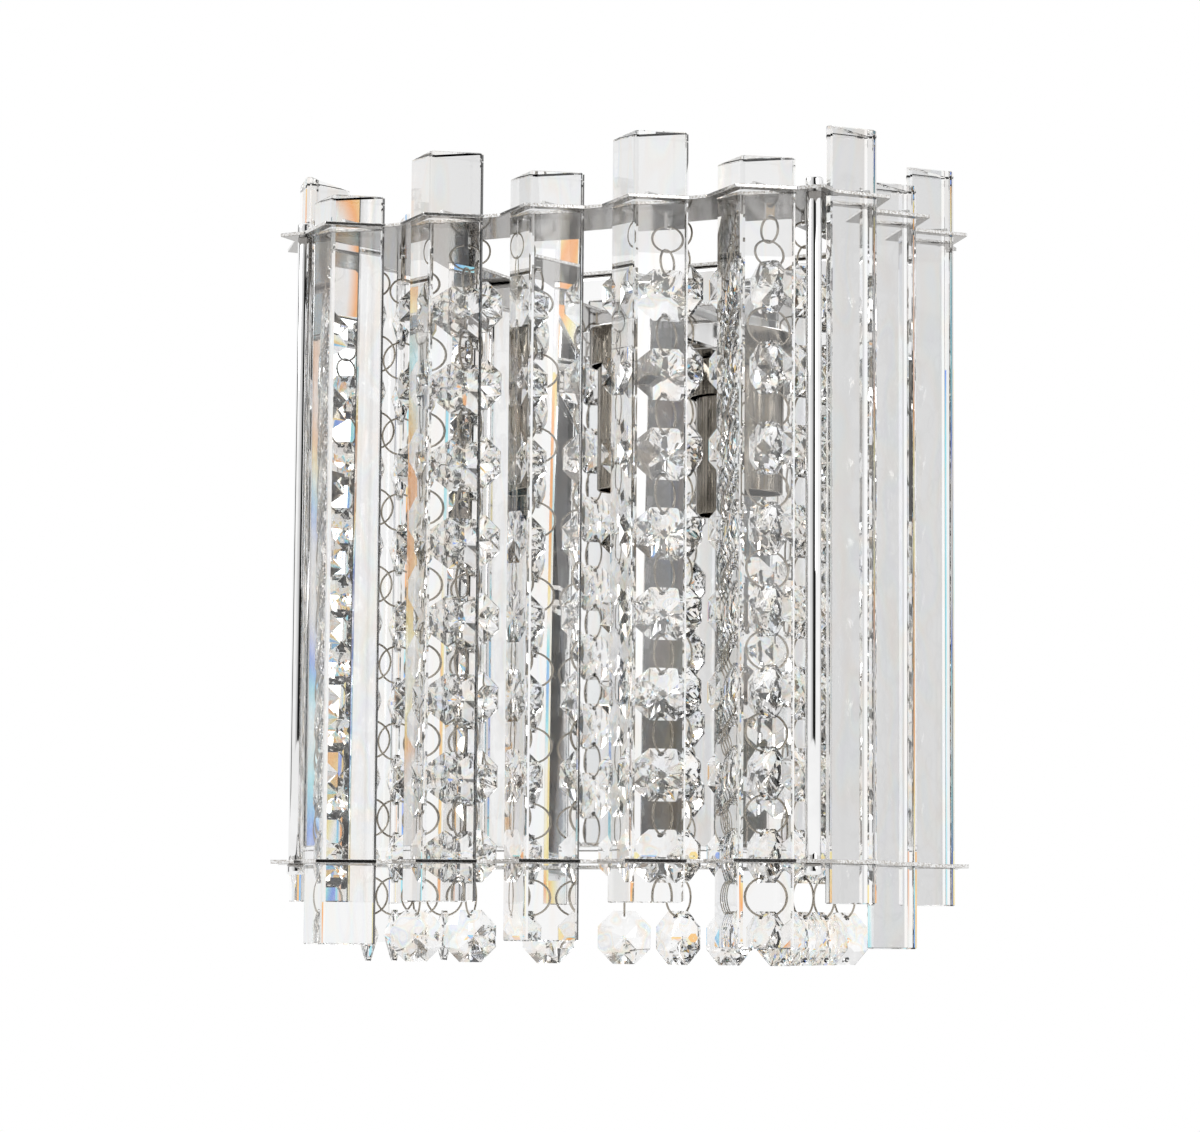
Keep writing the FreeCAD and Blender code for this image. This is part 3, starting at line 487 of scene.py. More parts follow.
def add_object(name: str, data: bpy.types.ID) -> bpy.types.Object:
    """Adds an object at the origin to the scene."""
    made = bpy.data.objects.new(name, data)
    bpy.context.scene.collection.objects.link(made)
    return made


@contextmanager
def opened(piece: bpy.types.Object) -> Iterator[bmesh.types.BMesh]:
    """A piece's mesh as a bmesh, which is written back at the end."""
    bm = bmesh.new()
    bm.from_mesh(piece.data)
    yield bm
    bm.to_mesh(piece.data)
    bm.free()


def piece_from(bm: bmesh.types.BMesh, name: str, finish: Finish, replaces: str,
               body: str = ROOT_BODY) -> bpy.types.Object:
    """Turns a bmesh into a piece that rides on a body.

    Args:
        bm: The shape, in metres, in place.
        name: The piece's name.
        finish: Its finish.
        replaces: The node that it stands for.
        body: The body that carries it.

    Returns:
        The new object.
    """
    made = add_object(name, mesh_of(bm, name))
    made.data.materials.append(material(finish))
    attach(made, body)
    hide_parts(replaces)
    return made


def shade_smooth(piece: bpy.types.Object, crease: float) -> bpy.types.Object:
    """Smooth shading with edges sharper than an angle, in degrees, kept crisp."""
    with opened(piece) as bm:
        for face in bm.faces:
            face.smooth = True
        for edge in bm.edges:
            if len(edge.link_faces) == 2:
                edge.smooth = edge.calc_face_angle() < math.radians(crease)
    return piece


def round_narrow_faces(piece: bpy.types.Object, narrow: float) -> bpy.types.Object:
    """Smooth shading on the narrow faces of rounded edges only, so that flat sheet stays optically flat.

    Args:
        piece: The piece to shade.
        narrow: Faces narrower than this, in metres, are smooth.

    Returns:
        The same piece.
    """
    with opened(piece) as bm:
        for face in bm.faces:
            longest = max(edge.calc_length() for edge in face.edges)
            face.smooth = face.calc_area() < narrow * longest
    return piece


def softened_copy(node: str, name: str, finish: Finish, width: float, narrow: float,
                  sharp: float = 30.0) -> bpy.types.Object:
    """A copy of a node whose sharp edges are rounded over.

    Args:
        node: The node to copy, which the piece then replaces.
        name: The piece's name.
        finish: Its finish.
        width: The rounding's width in metres.
        narrow: Faces narrower than this, in metres, are shaded smooth.
        sharp: Edges turning by more than this, in degrees, are rounded.

    Returns:
        The new piece.
    """
    bm = bmesh.new()
    bm.from_mesh(frame["nodes"][node].data)
    bmesh.ops.remove_doubles(bm, verts=bm.verts, dist=1e-6)
    bmesh.ops.dissolve_limit(bm, angle_limit=math.radians(1.0), verts=bm.verts, edges=bm.edges)
    edges = [edge for edge in bm.edges
             if len(edge.link_faces) == 2 and edge.calc_face_angle() > math.radians(sharp)]
    bmesh.ops.bevel(bm, geom=edges, offset=width, offset_type="OFFSET", affect="EDGES",
                    segments=2, profile=0.5, material=-1, clamp_overlap=True)
    return round_narrow_faces(piece_from(bm, name, finish, node), narrow)


def turned_shape(profile: Outline, axis: Vector, steps: int) -> bmesh.types.BMesh:
    """A shape turned about an upright axis.

    Args:
        profile: Closed outline of radius and height pairs, in metres.
        axis: A point on the axis, whose height is added to the profile's.
        steps: Steps in the full turn.

    Returns:
        The closed shape.
    """
    bm = bmesh.new()
    corners = [bm.verts.new(axis + Vector((radius, 0.0, height))) for radius, height in profile]
    edges = [bm.edges.new((corner, corners[(index + 1) % len(corners)]))
             for index, corner in enumerate(corners)]
    bmesh.ops.spin(bm, geom=corners + edges, cent=axis, axis=(0, 0, 1), angle=math.tau,
                   steps=steps, use_merge=True)
    bmesh.ops.remove_doubles(bm, verts=bm.verts, dist=1e-7)
    bmesh.ops.recalc_face_normals(bm, faces=bm.faces)
    return bm


def joined(shapes: Sequence[bmesh.types.BMesh]) -> bmesh.types.BMesh:
    """Joins several shapes in one mesh, and frees them."""
    whole = bmesh.new()
    for shape in shapes:
        part = mesh_of(shape, "part")
        whole.from_mesh(part)
        bpy.data.meshes.remove(part)
    return whole


def add_ring(bm: bmesh.types.BMesh, diameter: float, wire: float, matrix: Matrix,
             steps: int = 28, sides: int = 8) -> None:
    """Adds a round wire ring in its own YZ plane.

    Args:
        bm: The mesh that it is added to.
        diameter: Across the ring, wire centre to wire centre.
        wire: The wire's diameter.
        matrix: Its place.
        steps: Steps round the ring.
        sides: Sides of the wire.
    """
    made = bmesh.ops.create_circle(bm, segments=sides, radius=wire / 2)["verts"]
    edges = list({edge for vert in made for edge in vert.link_edges})
    bmesh.ops.transform(bm, verts=made, matrix=Matrix.Translation((0, diameter / 2, 0)))
    before = set(bm.verts)
    bmesh.ops.spin(bm, geom=made + edges, cent=(0, 0, 0), axis=(1, 0, 0), angle=math.tau,
                   steps=steps, use_merge=True)
    ring = made + [vert for vert in bm.verts if vert not in before]
    bmesh.ops.transform(bm, verts=ring, matrix=matrix)


def tube_profile(inner: float, outer: float, low: float, high: float, edge: float) -> Outline:
    """The outline of a round wall with its outer corners broken.

    Args:
        inner: Inner radius, which is 0 for a solid piece.
        outer: Outer radius.
        low: Lower level.
        high: Upper level.
        edge: Width of the broken corners.

    Returns:
        Radius and height pairs.
    """
    inset = edge * CORNER_MIDDLE
    return [(inner, low), (outer - edge, low), (outer - inset, low + inset), (outer, low + edge),
            (outer, high - edge), (outer - inset, high - inset), (outer - edge, high), (inner, high)]


# ---------------------- glass prisms
@dataclass
class Prisms:
    """The eleven cut bars, each with its ridge outwards and narrow polished edge bevels."""

    ridge_flat: float = 1.5 * MM
    edge_facet: float = 2.4 * MM
    bevel: float = 0.45 * MM
    front_count: int = 5
    side_count: int = 3

    def nodes(self) -> list[str]:
        """The bars' nodes: the front row, then each side's."""
        return [f"{row}_prism_{index}" for row, count in (("front", self.front_count),
                                                          ("left", self.side_count),
                                                          ("right", self.side_count))
                for index in range(1, count + 1)]

    def section(self, width: float, depth: float) -> list[Vector]:
        """The bar's outline, ridge towards -Y, with the ridge plane at Y = 0."""
        half, ridge = width / 2, self.ridge_flat / 2
        shoulder = depth - self.edge_facet
        return [Vector((-ridge, 0, 0)), Vector((-half, shoulder, 0)), Vector((-half, depth, 0)),
                Vector((half, depth, 0)), Vector((half, shoulder, 0)), Vector((ridge, 0, 0))]

    def build_one(self, node: str) -> bpy.types.Object:
        """Builds one bar in its node's place.

        Args:
            node: The prism's node.

        Returns:
            The new piece.
        """
        low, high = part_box(node)
        size = high - low
        middle = (low + high) / 2
        if node.startswith("front"):
            width, depth = size.x, size.y
            matrix = Matrix.Translation((middle.x, low.y, low.z))
        else:
            width, depth = size.y, size.x
            outward = 1 if middle.x > 0 else -1
            ridge_x = high.x if outward > 0 else low.x
            matrix = (Matrix.Translation((ridge_x, middle.y, low.z))
                      @ Matrix.Rotation(math.radians(90.0 * outward), 4, "Z"))
        bm = bmesh.new()
        face = bm.faces.new([bm.verts.new(point) for point in self.section(width, depth)])
        grown = bmesh.ops.extrude_face_region(bm, geom=[face])["geom"]
        top = [item for item in grown if isinstance(item, bmesh.types.BMVert)]
        bmesh.ops.translate(bm, verts=top, vec=(0, 0, size.z))
        bmesh.ops.recalc_face_normals(bm, faces=bm.faces)
        bmesh.ops.bevel(bm, geom=list(bm.edges), offset=self.bevel, offset_type="OFFSET",
                        affect="EDGES", segments=1, profile=0.5, material=-1, clamp_overlap=True)
        bmesh.ops.transform(bm, matrix=matrix, verts=bm.verts)
        return piece_from(bm, f"{node}_glass", Finish.PRISM, node)

    def build(self) -> Iterator[bpy.types.Object]:
        """Builds all the bars."""
        for node in self.nodes():
            yield self.build_one(node)


# ---------------------- crystal strings
@dataclass
class CrystalStrings:
    """Fourteen strings of nine octagon crystals on wire rings below the top plate's hooks."""

    width: float = 20.5 * MM
    thickness: float = 8.4 * MM
    girdle: float = 1.6 * MM
    crown_share: float = 0.62
    crown_swell: float = 1.22
    count: int = 9
    wire: float = 0.8 * MM
    wire_crease: float = 60.0
    small_ring: float = 10.2 * MM
    hole_reach: float = 8.15 * MM
    hole: float = 2.2 * MM
    front_turns: Sequence[float] = (40.0, 12.0, 10.0, 26.0, -14.0, -12.0)
    side_turn: float = 55.0
    side_count: int = 4

    def turns(self) -> list[float]:
        """Each string's turn about its own axis in degrees: the front row, then the left and right side."""
        return [*self.front_turns, *[-self.side_turn] * self.side_count, *[self.side_turn] * self.side_count]

    def blank(self) -> bmesh.types.BMesh:
        """A crystal without its holes: an octagon slab drawn in twice to a point on each side."""
        half = self.width / 2
        half_side = 22.5
        corner = half / math.cos(math.radians(half_side))
        band, tip = self.girdle / 2, self.thickness / 2
        crown = half * self.crown_share
        crown_depth = band + (tip - band) * (1 - self.crown_share) * self.crown_swell
        bm = bmesh.new()
        for depth, radius, turn in ((-band, corner, half_side), (band, corner, half_side),
                                    (-crown_depth, crown, 0.0), (crown_depth, crown, 0.0)):
            bmesh.ops.create_circle(bm, segments=8, radius=radius,
                                    matrix=Matrix.Translation((0, depth, 0)) @ TO_FRONT
                                    @ Matrix.Rotation(math.radians(turn), 4, "Z"))
        for side in (-1, 1):
            bmesh.ops.create_vert(bm, co=(0, side * tip, 0))
        bmesh.ops.convex_hull(bm, input=bm.verts)
        bmesh.ops.dissolve_limit(bm, angle_limit=math.radians(0.5), verts=bm.verts, edges=bm.edges)
        bmesh.ops.recalc_face_normals(bm, faces=bm.faces)
        return bm

    def drills(self) -> bmesh.types.BMesh:
        """Two drills that pass through a crystal near its top and bottom."""
        bm = bmesh.new()
        for level in (-self.hole_reach, self.hole_reach):
            bmesh.ops.create_cone(bm, cap_ends=True, segments=8, radius1=self.hole / 2,
                                  radius2=self.hole / 2, depth=2 * self.thickness,
                                  matrix=Matrix.Translation((0, 0, level)) @ TO_FRONT)
        return bm

    def drilled(self) -> bpy.types.Mesh:
        """A crystal's mesh at the origin, facing Y, with its two holes."""
        crystal = add_object("crystal_blank", mesh_of(self.blank(), "crystal_blank"))
        drills = add_object("crystal_drills", mesh_of(self.drills(), "crystal_drills"))
        boring = crystal.modifiers.new("holes", "BOOLEAN")
        boring.operation = "DIFFERENCE"
        boring.object = drills
        boring.solver = "EXACT"
        graph = bpy.context.evaluated_depsgraph_get()
        finished = bpy.data.meshes.new_from_object(crystal.evaluated_get(graph))
        for solid in (crystal, drills):
            bpy.data.objects.remove(solid)
        return finished

    def build_one(self, number: int, turn: float, crystal: bpy.types.Mesh) -> Iterator[bpy.types.Object]:
        """Builds a string's crystals and its rings.

        Args:
            number: The string's number, from 1.
            turn: Its turn about its own axis, in degrees.
            crystal: The mesh of one crystal.

        Yields:
            The crystals' piece and the rings' piece.
        """
        body = f"string_{number}"
        joint = next(item for item in frame["joints"] if item["child"] == body)
        hook = Vector(joint["pos_m"])
        low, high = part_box(f"{body}_crystals")
        first = high.z - self.width / 2
        pitch = (first - (low.z + self.width / 2)) / (self.count - 1)
        glass, wires = bmesh.new(), bmesh.new()
        spin = Matrix.Rotation(math.radians(turn), 4, "Z")
        step = self.small_ring - self.wire
        for index, extra in enumerate((QUARTER_TURN, Matrix.Identity(4))):
            place = Vector((hook.x, hook.y, hook.z - self.small_ring / 2 - index * step))
            add_ring(wires, self.small_ring, self.wire, Matrix.Translation(place) @ spin @ extra)
        large_ring = pitch - 2 * self.hole_reach
        for index in range(self.count):
            middle = Vector((hook.x, hook.y, first - index * pitch))
            before = len(glass.verts)
            glass.from_mesh(crystal)
            glass.verts.ensure_lookup_table()
            bmesh.ops.transform(glass, verts=glass.verts[before:],
                                matrix=Matrix.Translation(middle) @ spin)
            if index:
                place = middle + Vector((0, 0, pitch / 2))
                add_ring(wires, large_ring, self.wire, Matrix.Translation(place) @ spin)
        bmesh.ops.recalc_face_normals(wires, faces=wires.faces)
        yield piece_from(glass, f"{body}_cut_crystals", Finish.CRYSTAL, f"{body}_crystals", body)
        yield shade_smooth(piece_from(wires, f"{body}_wire_rings", Finish.WIRE, f"{body}_rings", body),
                           self.wire_crease)

    def build(self) -> Iterator[bpy.types.Object]:
        """Builds all the strings."""
        crystal = self.drilled()
        for number, turn in enumerate(self.turns(), start=1):
            yield from self.build_one(number, turn, crystal)


# ---------------------- metalwork
@dataclass
class Metalwork:
    """Plates, posts, caps, back pan, bracket and fasteners."""

    plate_edge: float = 0.25 * MM
    small_edge: float = 0.2 * MM
    narrow_face: float = 0.7 * MM
    narrow_pan_face: float = 1.2 * MM
    cap_radius: float = 3.5 * MM
    cap_edge: float = 0.7 * MM
    post_radius: float = 3.0 * MM
    post_edge: float = 0.1 * MM
    round_crease: float = 50.0
    nut_across: float = 8.0 * MM
    nut_collar: float = 2.5 * MM
    nut_crease: float = 40.0
    dome_step: int = 15
    head_radius: float = 3.8 * MM
    head_height: float = 2.2 * MM
    head_rim: float = 0.8 * MM
    head_side: float = 0.2 * MM
    head_shoulder: float = 0.7
    head_crease: float = 30.0
    recess_radius: float = 1.5 * MM
    recess_depth: float = 1.1 * MM
    shank_radius: float = 2.0 * MM
    shank_length: float = 5.5 * MM
    strip_half: float = 5.25 * MM
    strip_face: float = -13.5 * MM
    bracket_screw: float = 38.0 * MM
    rear_line: float = 6.0 * MM
    steps: int = 40

    def round_bars(self, node: str, name: str, radius: float, edge: float,
                   spans: Sequence[tuple[float, float]]) -> bpy.types.Object:
        """Round upright pieces at the left and right end of a node.

        Args:
            node: The node that they stand for.
            name: The piece's name.
            radius: Their radius.
            edge: Width of their broken corners.
            spans: The lower and upper level of each piece at one end.

        Returns:
            The new piece.
        """
        low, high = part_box(node)
        shapes = [turned_shape(tube_profile(0.0, radius, foot, head, edge),
                               Vector((x, (low.y + high.y) / 2, 0)), self.steps)
                  for x in (low.x + radius, high.x - radius) for foot, head in spans]
        return shade_smooth(piece_from(joined(shapes), name, Finish.POST, node), self.round_crease)

    def posts(self) -> bpy.types.Object:
        """Two polished round posts between the plates."""
        span = (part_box("bottom_plate")[1].z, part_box("top_plate")[0].z)
        return self.round_bars("corner_posts", "corner_posts_polished", self.post_radius, self.post_edge,
                               [span])

    def caps(self) -> bpy.types.Object:
        """Four round caps on the outsides of the plates."""
        low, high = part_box("post_caps")
        spans = [(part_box("top_plate")[1].z, high.z), (low.z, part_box("bottom_plate")[0].z)]
        return self.round_bars("post_caps", "post_caps_polished", self.cap_radius, self.cap_edge, spans)

    def dome_nuts(self) -> bpy.types.Object:
        """Two dome nuts on the studs: a hexagon collar under a round dome."""
        low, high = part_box("dome_nuts")
        dome = high.y - low.y - self.nut_collar
        radius = self.nut_across / 2
        corner = radius / math.cos(math.radians(30.0))
        turns = [math.radians(turn) for turn in range(0, 90, self.dome_step)]
        curve = [(radius * math.cos(turn), self.nut_collar + dome * math.sin(turn)) for turn in turns]
        outline = [(0.0, self.nut_collar), *curve, (0.0, self.nut_collar + dome)]
        middle = (low.x + high.x) / 2
        shapes = []
        for side in (-1, 1):
            shape = turned_shape(outline, Vector((0, 0, 0)), self.steps)
            bmesh.ops.create_cone(shape, cap_ends=True, segments=6, depth=self.nut_collar,
                                  radius1=corner, radius2=corner,
                                  matrix=Matrix.Translation((0, 0, self.nut_collar / 2)))
            place = Vector((middle + side * (high.x - middle - corner), high.y, 0))
            bmesh.ops.transform(shape, verts=shape.verts, matrix=Matrix.Translation(place) @ TO_FRONT)
            shapes.append(shape)
        return shade_smooth(piece_from(joined(shapes), "dome_nuts_polished", Finish.CHROME, "dome_nuts"),
                            self.nut_crease)

    def screw_outline(self) -> Outline:
        """A screw's outline: a round head with a drive recess, and its shank below."""
        floor = self.head_height - self.recess_depth
        return [(0.0, floor), (self.recess_radius, floor), (self.recess_radius, self.head_height),
                (self.head_radius - self.head_rim, self.head_height),
                (self.head_radius - self.head_side, self.head_height * self.head_shoulder),
                (self.head_radius, 0.0), (self.shank_radius, 0.0),
                (self.shank_radius, -self.shank_length), (0.0, -self.shank_length)]

    def screws(self) -> bpy.types.Object:
        """Two screws through each plate and two in the bracket."""
        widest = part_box("pan_screws")[1].x - self.head_radius
        over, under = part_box("top_plate")[1].z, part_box("bottom_plate")[0].z
        strip_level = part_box("lamp_bracket")[1].z - self.strip_half
        half_turn = Matrix.Rotation(math.pi, 4, "X")
        shapes = []
        for side in (-1, 1):
            for place, way in (((side * widest, -self.rear_line, over), Matrix.Identity(4)),
                               ((side * widest, -self.rear_line, under), half_turn),
                               ((side * self.bracket_screw, self.strip_face, strip_level), TO_FRONT)):
                shape = turned_shape(self.screw_outline(), Vector((0, 0, 0)), self.steps)
                bmesh.ops.transform(shape, verts=shape.verts, matrix=Matrix.Translation(place) @ way)
                shapes.append(shape)
        return shade_smooth(piece_from(joined(shapes), "pan_screws_polished", Finish.CHROME, "pan_screws"),
                            self.head_crease)

    def dressed(self, node: str, finish: Finish) -> bpy.types.Object:
        """Gives a node that keeps its shape its finish."""
        made = frame["nodes"][node]
        made.data.materials.clear()
        made.data.materials.append(material(finish))
        return made

    def build(self) -> Iterator[bpy.types.Object]:
        """Rounds the sheets' edges, builds the round pieces and dresses what keeps its shape."""
        for node in ("top_plate", "bottom_plate"):
            yield softened_copy(node, f"{node}_sheet", Finish.PLATE, self.plate_edge, self.narrow_face)
        yield softened_copy("back_pan", "back_pan_mirror", Finish.MIRROR, self.small_edge,
                            self.narrow_pan_face)
        yield softened_copy("lamp_bracket", "lamp_bracket_strip", Finish.CHROME, self.small_edge,
                            self.narrow_face)
        yield self.posts()
        yield self.caps()
        yield self.dome_nuts()
        yield self.screws()
        for node, finish in (("bottom_spacers", Finish.CHROME), ("lock_nuts", Finish.ZINC),
                             ("string_hooks", Finish.CHROME), ("wall_bar", Finish.ZINC),
                             ("mounting_studs", Finish.ZINC), ("prism_pins", Finish.ZINC),
                             ("lamp_lead", Finish.LEAD)):
            yield self.dressed(node, finish)


# ---------------------- lamp holder
@dataclass
class LampHolder:
    """Cup, sleeve, insulating holder, brass shell and contact on one axis below the bracket."""

    cup_wall: float = 1.0 * MM
    cup_shoulder: float = 1.6 * MM
    cup_hole: float = 5.15 * MM
    sleeve_wall: float = 0.8 * MM
    sleeve_lip: float = 0.3 * MM
    bore_radius: float = 6.75 * MM
    bore_depth: float = 25.0 * MM
    flange: float = 4.0 * MM
    flange_step: float = 3.3 * MM
    thread_pitch: float = 1.8 * MM
    thread_steps: int = 4
    thread_half_depth: float = 0.175 * MM
    shell_sheet: float = 0.25 * MM
    nipple_bore: float = 3.0 * MM
    nipple_edge: float = 0.4 * MM
    contact_flat: float = 0.6
    contact_crown: float = 0.1 * MM
    contact_edge: float = 0.4 * MM
    crease: float = 40.0
    steps: int = 64

    def turned(self, node: str, name: str, finish: Finish,
               profile: Callable[[float, float, float], Outline]) -> bpy.types.Object:
        """Builds one turned piece in its node's place.

        Args:
            node: The node that it stands for.
            name: The piece's name.
            finish: Its finish.
            profile: Makes the outline from the node's radius, lower and upper level.

        Returns:
            The new piece.
        """
        low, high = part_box(node)
        middle = (low + high) / 2
        outline = profile((high.x - low.x) / 2, low.z, high.z)
        shape = turned_shape(outline, Vector((middle.x, middle.y, 0)), self.steps)
        return shade_smooth(piece_from(shape, name, finish, node), self.crease)

    def cup(self, radius: float, low: float, high: float) -> Outline:
        """A cup open below, with a rounded shoulder and the nipple's hole."""
        wall, shoulder, hole = self.cup_wall, self.cup_shoulder, self.cup_hole
        inset = shoulder * CORNER_MIDDLE
        return [(hole, high - wall), (radius - wall, high - wall), (radius - wall, low),
                (radius, low), (radius, high - shoulder), (radius - inset, high - inset),
                (radius - shoulder, high), (hole, high)]

    def sleeve(self, radius: float, low: float, high: float) -> Outline:
        """A thin tube with a rolled lower lip."""
        wall, lip = self.sleeve_wall, self.sleeve_lip
        return [(radius - wall, low + lip), (radius - wall / 2, low), (radius, low + lip),
                (radius, high), (radius - wall, high)]

    def holder(self, radius: float, low: float, high: float) -> Outline:
        """The moulded body with its flange above and the lamp's bore below."""
        body = radius - self.flange_step
        return [(0.0, low + self.bore_depth), (self.bore_radius, low + self.bore_depth),
                (self.bore_radius, low), (body, low), (body, high - self.flange),
                (radius, high - self.flange), (radius, high), (0.0, high)]

    def shell(self, radius: float, low: float, high: float) -> Outline:
        """A rolled brass shell whose wall waves in and out with its thread."""
        count = int((high - low) / self.thread_pitch) * self.thread_steps
        levels = [low + (high - low) * index / count for index in range(count + 1)]
        wave = [radius - self.thread_half_depth * (1 - math.cos(math.tau * (level - low) / self.thread_pitch))
                for level in levels]
        outer = list(zip(wave, levels))
        inner = [(reach - self.shell_sheet, level) for reach, level in reversed(outer)]
        return outer + inner

    def nipple(self, radius: float, low: float, high: float) -> Outline:
        """A short threaded tube."""
        return tube_profile(self.nipple_bore, radius, low, high, self.nipple_edge)

    def contact(self, radius: float, low: float, high: float) -> Outline:
        """The contact at the bottom of the bore, slightly crowned."""
        return [(0.0, low), (radius * self.contact_flat, low + self.contact_crown),
                (radius, low + self.contact_edge), (radius, high), (0.0, high)]

    def build(self) -> Iterator[bpy.types.Object]:
        """Builds all the turned pieces of the lamp holder."""
        for node, name, finish, profile in (
                ("lamp_cup", "lamp_cup_turned", Finish.SLEEVE, self.cup),
                ("lamp_sleeve", "lamp_sleeve_turned", Finish.SLEEVE, self.sleeve),
                ("lamp_holder", "lamp_holder_body", Finish.HOLDER, self.holder),
                ("screw_shell", "screw_shell_rolled", Finish.BRASS, self.shell),
                ("threaded_nipple", "threaded_nipple_tube", Finish.ZINC, self.nipple),
                ("centre_contact", "centre_contact_disc", Finish.BRASS, self.contact)):
            yield self.turned(node, name, finish, profile)


# ---------------------- studio
class CardKind(Enum):
    """What a card shows, and to which surfaces."""

    TONE = "a grey that metal and glass show"
    FLAG = "a grey that metal alone shows"
    GLASS_TONE = "a grey that glass alone shows"
    SPECTRUM = "rainbow hues that glass alone shows, as dispersion gives"


@dataclass(frozen=True)
class Card:
    """A curved card about the sconce that only polished metal and glass show.

    It runs from one angle to another, in degrees from +X, and from one level to another, in metres.
    A tone of 1 is white. Flags and glass tones stand nearer than the other cards.
    """

    name: str
    start: float
    end: float
    tone: float
    low: float = -2.5
    high: float = 3.5
    kind: CardKind = CardKind.TONE
    reach: float = 3.0
    near_reach: float = 2.7
    steps: int = 12
    clouds: float = 0.6
    shaded: float = 0.92
    shaded_until: float = 0.2
    even_from: float = 0.8
    streaks: float = 9.0
    streak_stretch: Stretch = (1.0, 1.0, 0.25)
    hues_from: float = 0.36
    hues_until: float = 0.68
    hues: Sequence[tuple[float, Colour]] = (
        (0.42, (1.0, 0.45, 0.15, 1.0)), (0.47, (1.0, 0.88, 0.4, 1.0)), (0.52, WHITE),
        (0.57, (0.35, 0.85, 0.95, 1.0)), (0.62, (0.2, 0.35, 0.98, 1.0)))

    def colour(self, paint: Paint) -> bpy.types.NodeSocket:
        """The card's grey, with faint clouds, or its streaks of rainbow hues."""
        plain = grey(self.tone)
        if self.kind is CardKind.SPECTRUM:
            streaks = paint.noise(self.streaks, detail=1.0, stretch=self.streak_stretch)
            return paint.ramp(streaks, (self.hues_from, plain), *self.hues, (self.hues_until, plain))
        clouds = paint.noise(self.clouds, detail=1.0)
        return paint.ramp(clouds, (self.shaded_until, grey(self.tone * self.shaded)), (self.even_from, plain))

    def build(self) -> None:
        """Builds the card."""
        near = self.kind in (CardKind.FLAG, CardKind.GLASS_TONE)
        at = (Matrix.Rotation(math.radians(self.start), 4, "Z")
              @ Vector((self.near_reach if near else self.reach, 0, 0)))
        bm = bmesh.new()
        ends = [bm.verts.new(at + Vector((0, 0, level))) for level in (self.low, self.high)]
        bmesh.ops.spin(bm, geom=[*ends, bm.edges.new(ends)], cent=(0, 0, 0), axis=(0, 0, 1),
                       angle=math.radians(self.end - self.start), steps=self.steps)
        made = add_object(self.name, mesh_of(bm, self.name))
        paint = Paint(f"{self.name}_tone")
        paint.show(paint.node("ShaderNodeEmission", Color=self.colour(paint)))
        made.data.materials.append(paint.material)
        made.visible_camera = False
        made.visible_diffuse = False
        made.visible_shadow = False
        made.visible_transmission = self.kind is not CardKind.FLAG
        made.visible_glossy = self.kind in (CardKind.TONE, CardKind.FLAG)


CARDS = (
    Card("rear_right_card", 42.0, 78.0, 0.74),
    Card("rear_card", 78.0, 100.0, 0.92, high=0.6),
    Card("front_left_card", -112.0, -66.0, 0.86, low=-0.25),
    Card("left_dark_strip", -168.0, -150.0, 0.1),
    Card("front_spectrum_card", -66.0, -34.0, 0.9, low=-0.6, high=2.0, kind=CardKind.SPECTRUM),
    Card("right_spectrum_card", -22.0, 30.0, 0.9, low=-0.6, high=2.0, kind=CardKind.SPECTRUM),
    Card("rear_spectrum_card", 104.0, 130.0, 0.9, low=-0.2, high=0.55, kind=CardKind.SPECTRUM),
    Card("end_card", 84.0, 168.0, 0.86, low=0.64, high=1.5, kind=CardKind.GLASS_TONE),
    Card("soft_flag_left", -100.0, -84.0, 0.8, kind=CardKind.FLAG),
    Card("soft_flag_middle", -84.0, -70.0, 0.5, kind=CardKind.FLAG),
    Card("black_flag", -70.0, -34.0, 0.012, kind=CardKind.FLAG))


@dataclass(frozen=True)
class Lamp:
    """A soft square lamp that points at the sconce, with its power in watts."""

    name: str
    place: tuple[float, float, float]
    power: float
    width: float = 1.1

    def build(self) -> None:
        """Builds the lamp."""
        data = bpy.data.lights.new(self.name, "AREA")
        data.energy = self.power
        data.size = self.width
        place = Vector(self.place)
        made = add_object(self.name, data)
        made.matrix_world = (Matrix.Translation(place)
                             @ (-place).to_track_quat("-Z", "Y").to_matrix().to_4x4())


LAMPS = (Lamp("key", (-1.4, -1.6, 1.3), 18.0), Lamp("fill", (1.8, -1.0, 0.6), 8.0))


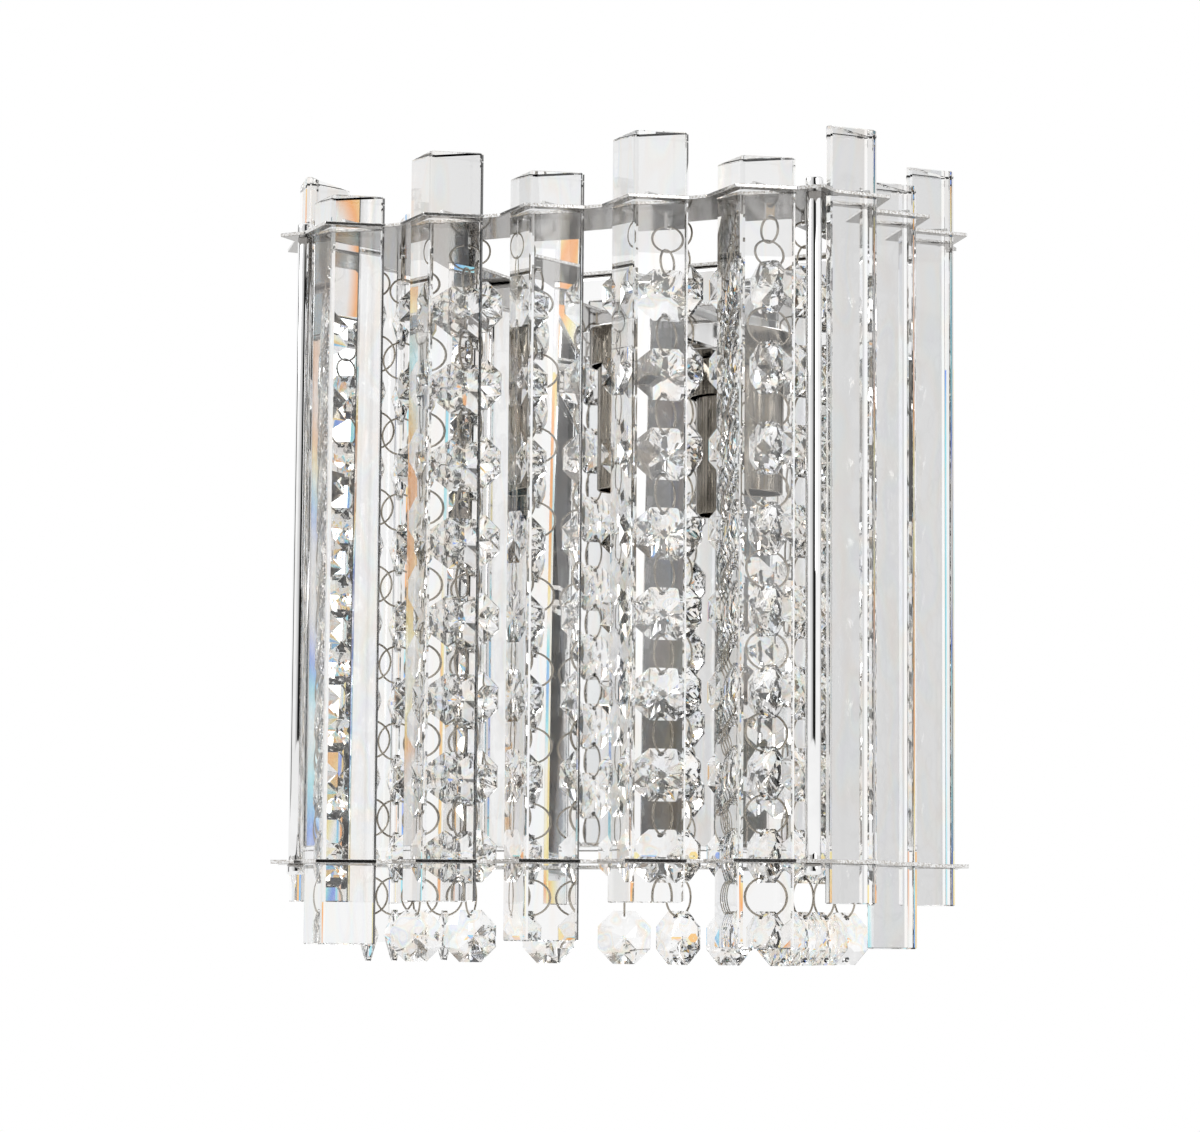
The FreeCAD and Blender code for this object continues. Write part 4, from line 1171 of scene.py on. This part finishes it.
@dataclass
class Studio:
    """Pale floor, plain light and the camera at the photograph's viewpoint."""

    lens: float = 107.54
    sensor: float = 36.0
    nearest: float = 0.01
    place: tuple[float, float, float] = (0.6330, -1.3650, -0.15076)
    turn: float = 26.35
    pitch: float = 5.725
    roll: float = -0.427
    floor_level: float = -0.62
    floor_half: float = 4.2
    floor_tone: float = 0.86
    floor_white_share: float = 0.9
    world_light: float = 0.78

    def camera(self) -> None:
        """Sets up the camera."""
        data = bpy.data.cameras.new("camera")
        data.lens = self.lens
        data.sensor_width = self.sensor
        data.sensor_fit = "HORIZONTAL"
        data.clip_start = self.nearest
        made = add_object("camera", data)
        aim = (Matrix.Rotation(math.radians(self.turn), 4, "Z")
               @ Matrix.Rotation(math.radians(90.0 + self.pitch), 4, "X")
               @ Matrix.Rotation(math.radians(-self.roll), 4, "Z"))
        made.matrix_world = Matrix.Translation(self.place) @ aim
        bpy.context.scene.camera = made

    def floor(self) -> None:
        """A wide pale floor far below the sconce, which the camera sees as white."""
        bm = bmesh.new()
        bmesh.ops.create_grid(bm, x_segments=1, y_segments=1, size=self.floor_half)
        bmesh.ops.translate(bm, verts=bm.verts, vec=(0, 0, self.floor_level))
        made = add_object("floor", mesh_of(bm, "floor"))
        paint = Paint("floor_pale")
        pale = paint.node("ShaderNodeBsdfDiffuse", Color=grey(self.floor_tone))
        white = paint.node("ShaderNodeEmission", Color=WHITE, Strength=1.0)
        paint.show(paint.mixed(paint.seen() * self.floor_white_share, pale, white))
        made.data.materials.append(paint.material)

    def world(self) -> None:
        """An even world: white to the eye, plain grey as a light."""
        made = bpy.data.worlds.new("studio")
        made.use_nodes = True
        nodes = Nodes(made.node_tree, "ShaderNodeOutputWorld")
        plain = nodes.node("ShaderNodeBackground", Color=grey(self.world_light))
        white = nodes.node("ShaderNodeBackground", Color=WHITE)
        nodes.show(nodes.mixed(nodes.seen(), plain, white))
        bpy.context.scene.world = made

    def build(self) -> None:
        """Builds the camera, floor, world, cards and lamps."""
        self.camera()
        self.floor()
        self.world()
        for item in (*CARDS, *LAMPS):
            item.build()
        bpy.context.scene.view_settings.view_transform = "Standard"
        log.info("built the studio")


def main() -> None:
    """Builds the sub-assemblies in order, reports each piece and sets up the studio."""
    logging.basicConfig(level=logging.INFO, format="%(name)s: %(message)s")
    for assembly in (Metalwork(), LampHolder(), Prisms(), CrystalStrings()):
        for piece in assembly.build():
            log.info("%s: %s", type(assembly).__name__, piece.name)
    Studio().build()


if __name__ == "__main__":
    main()
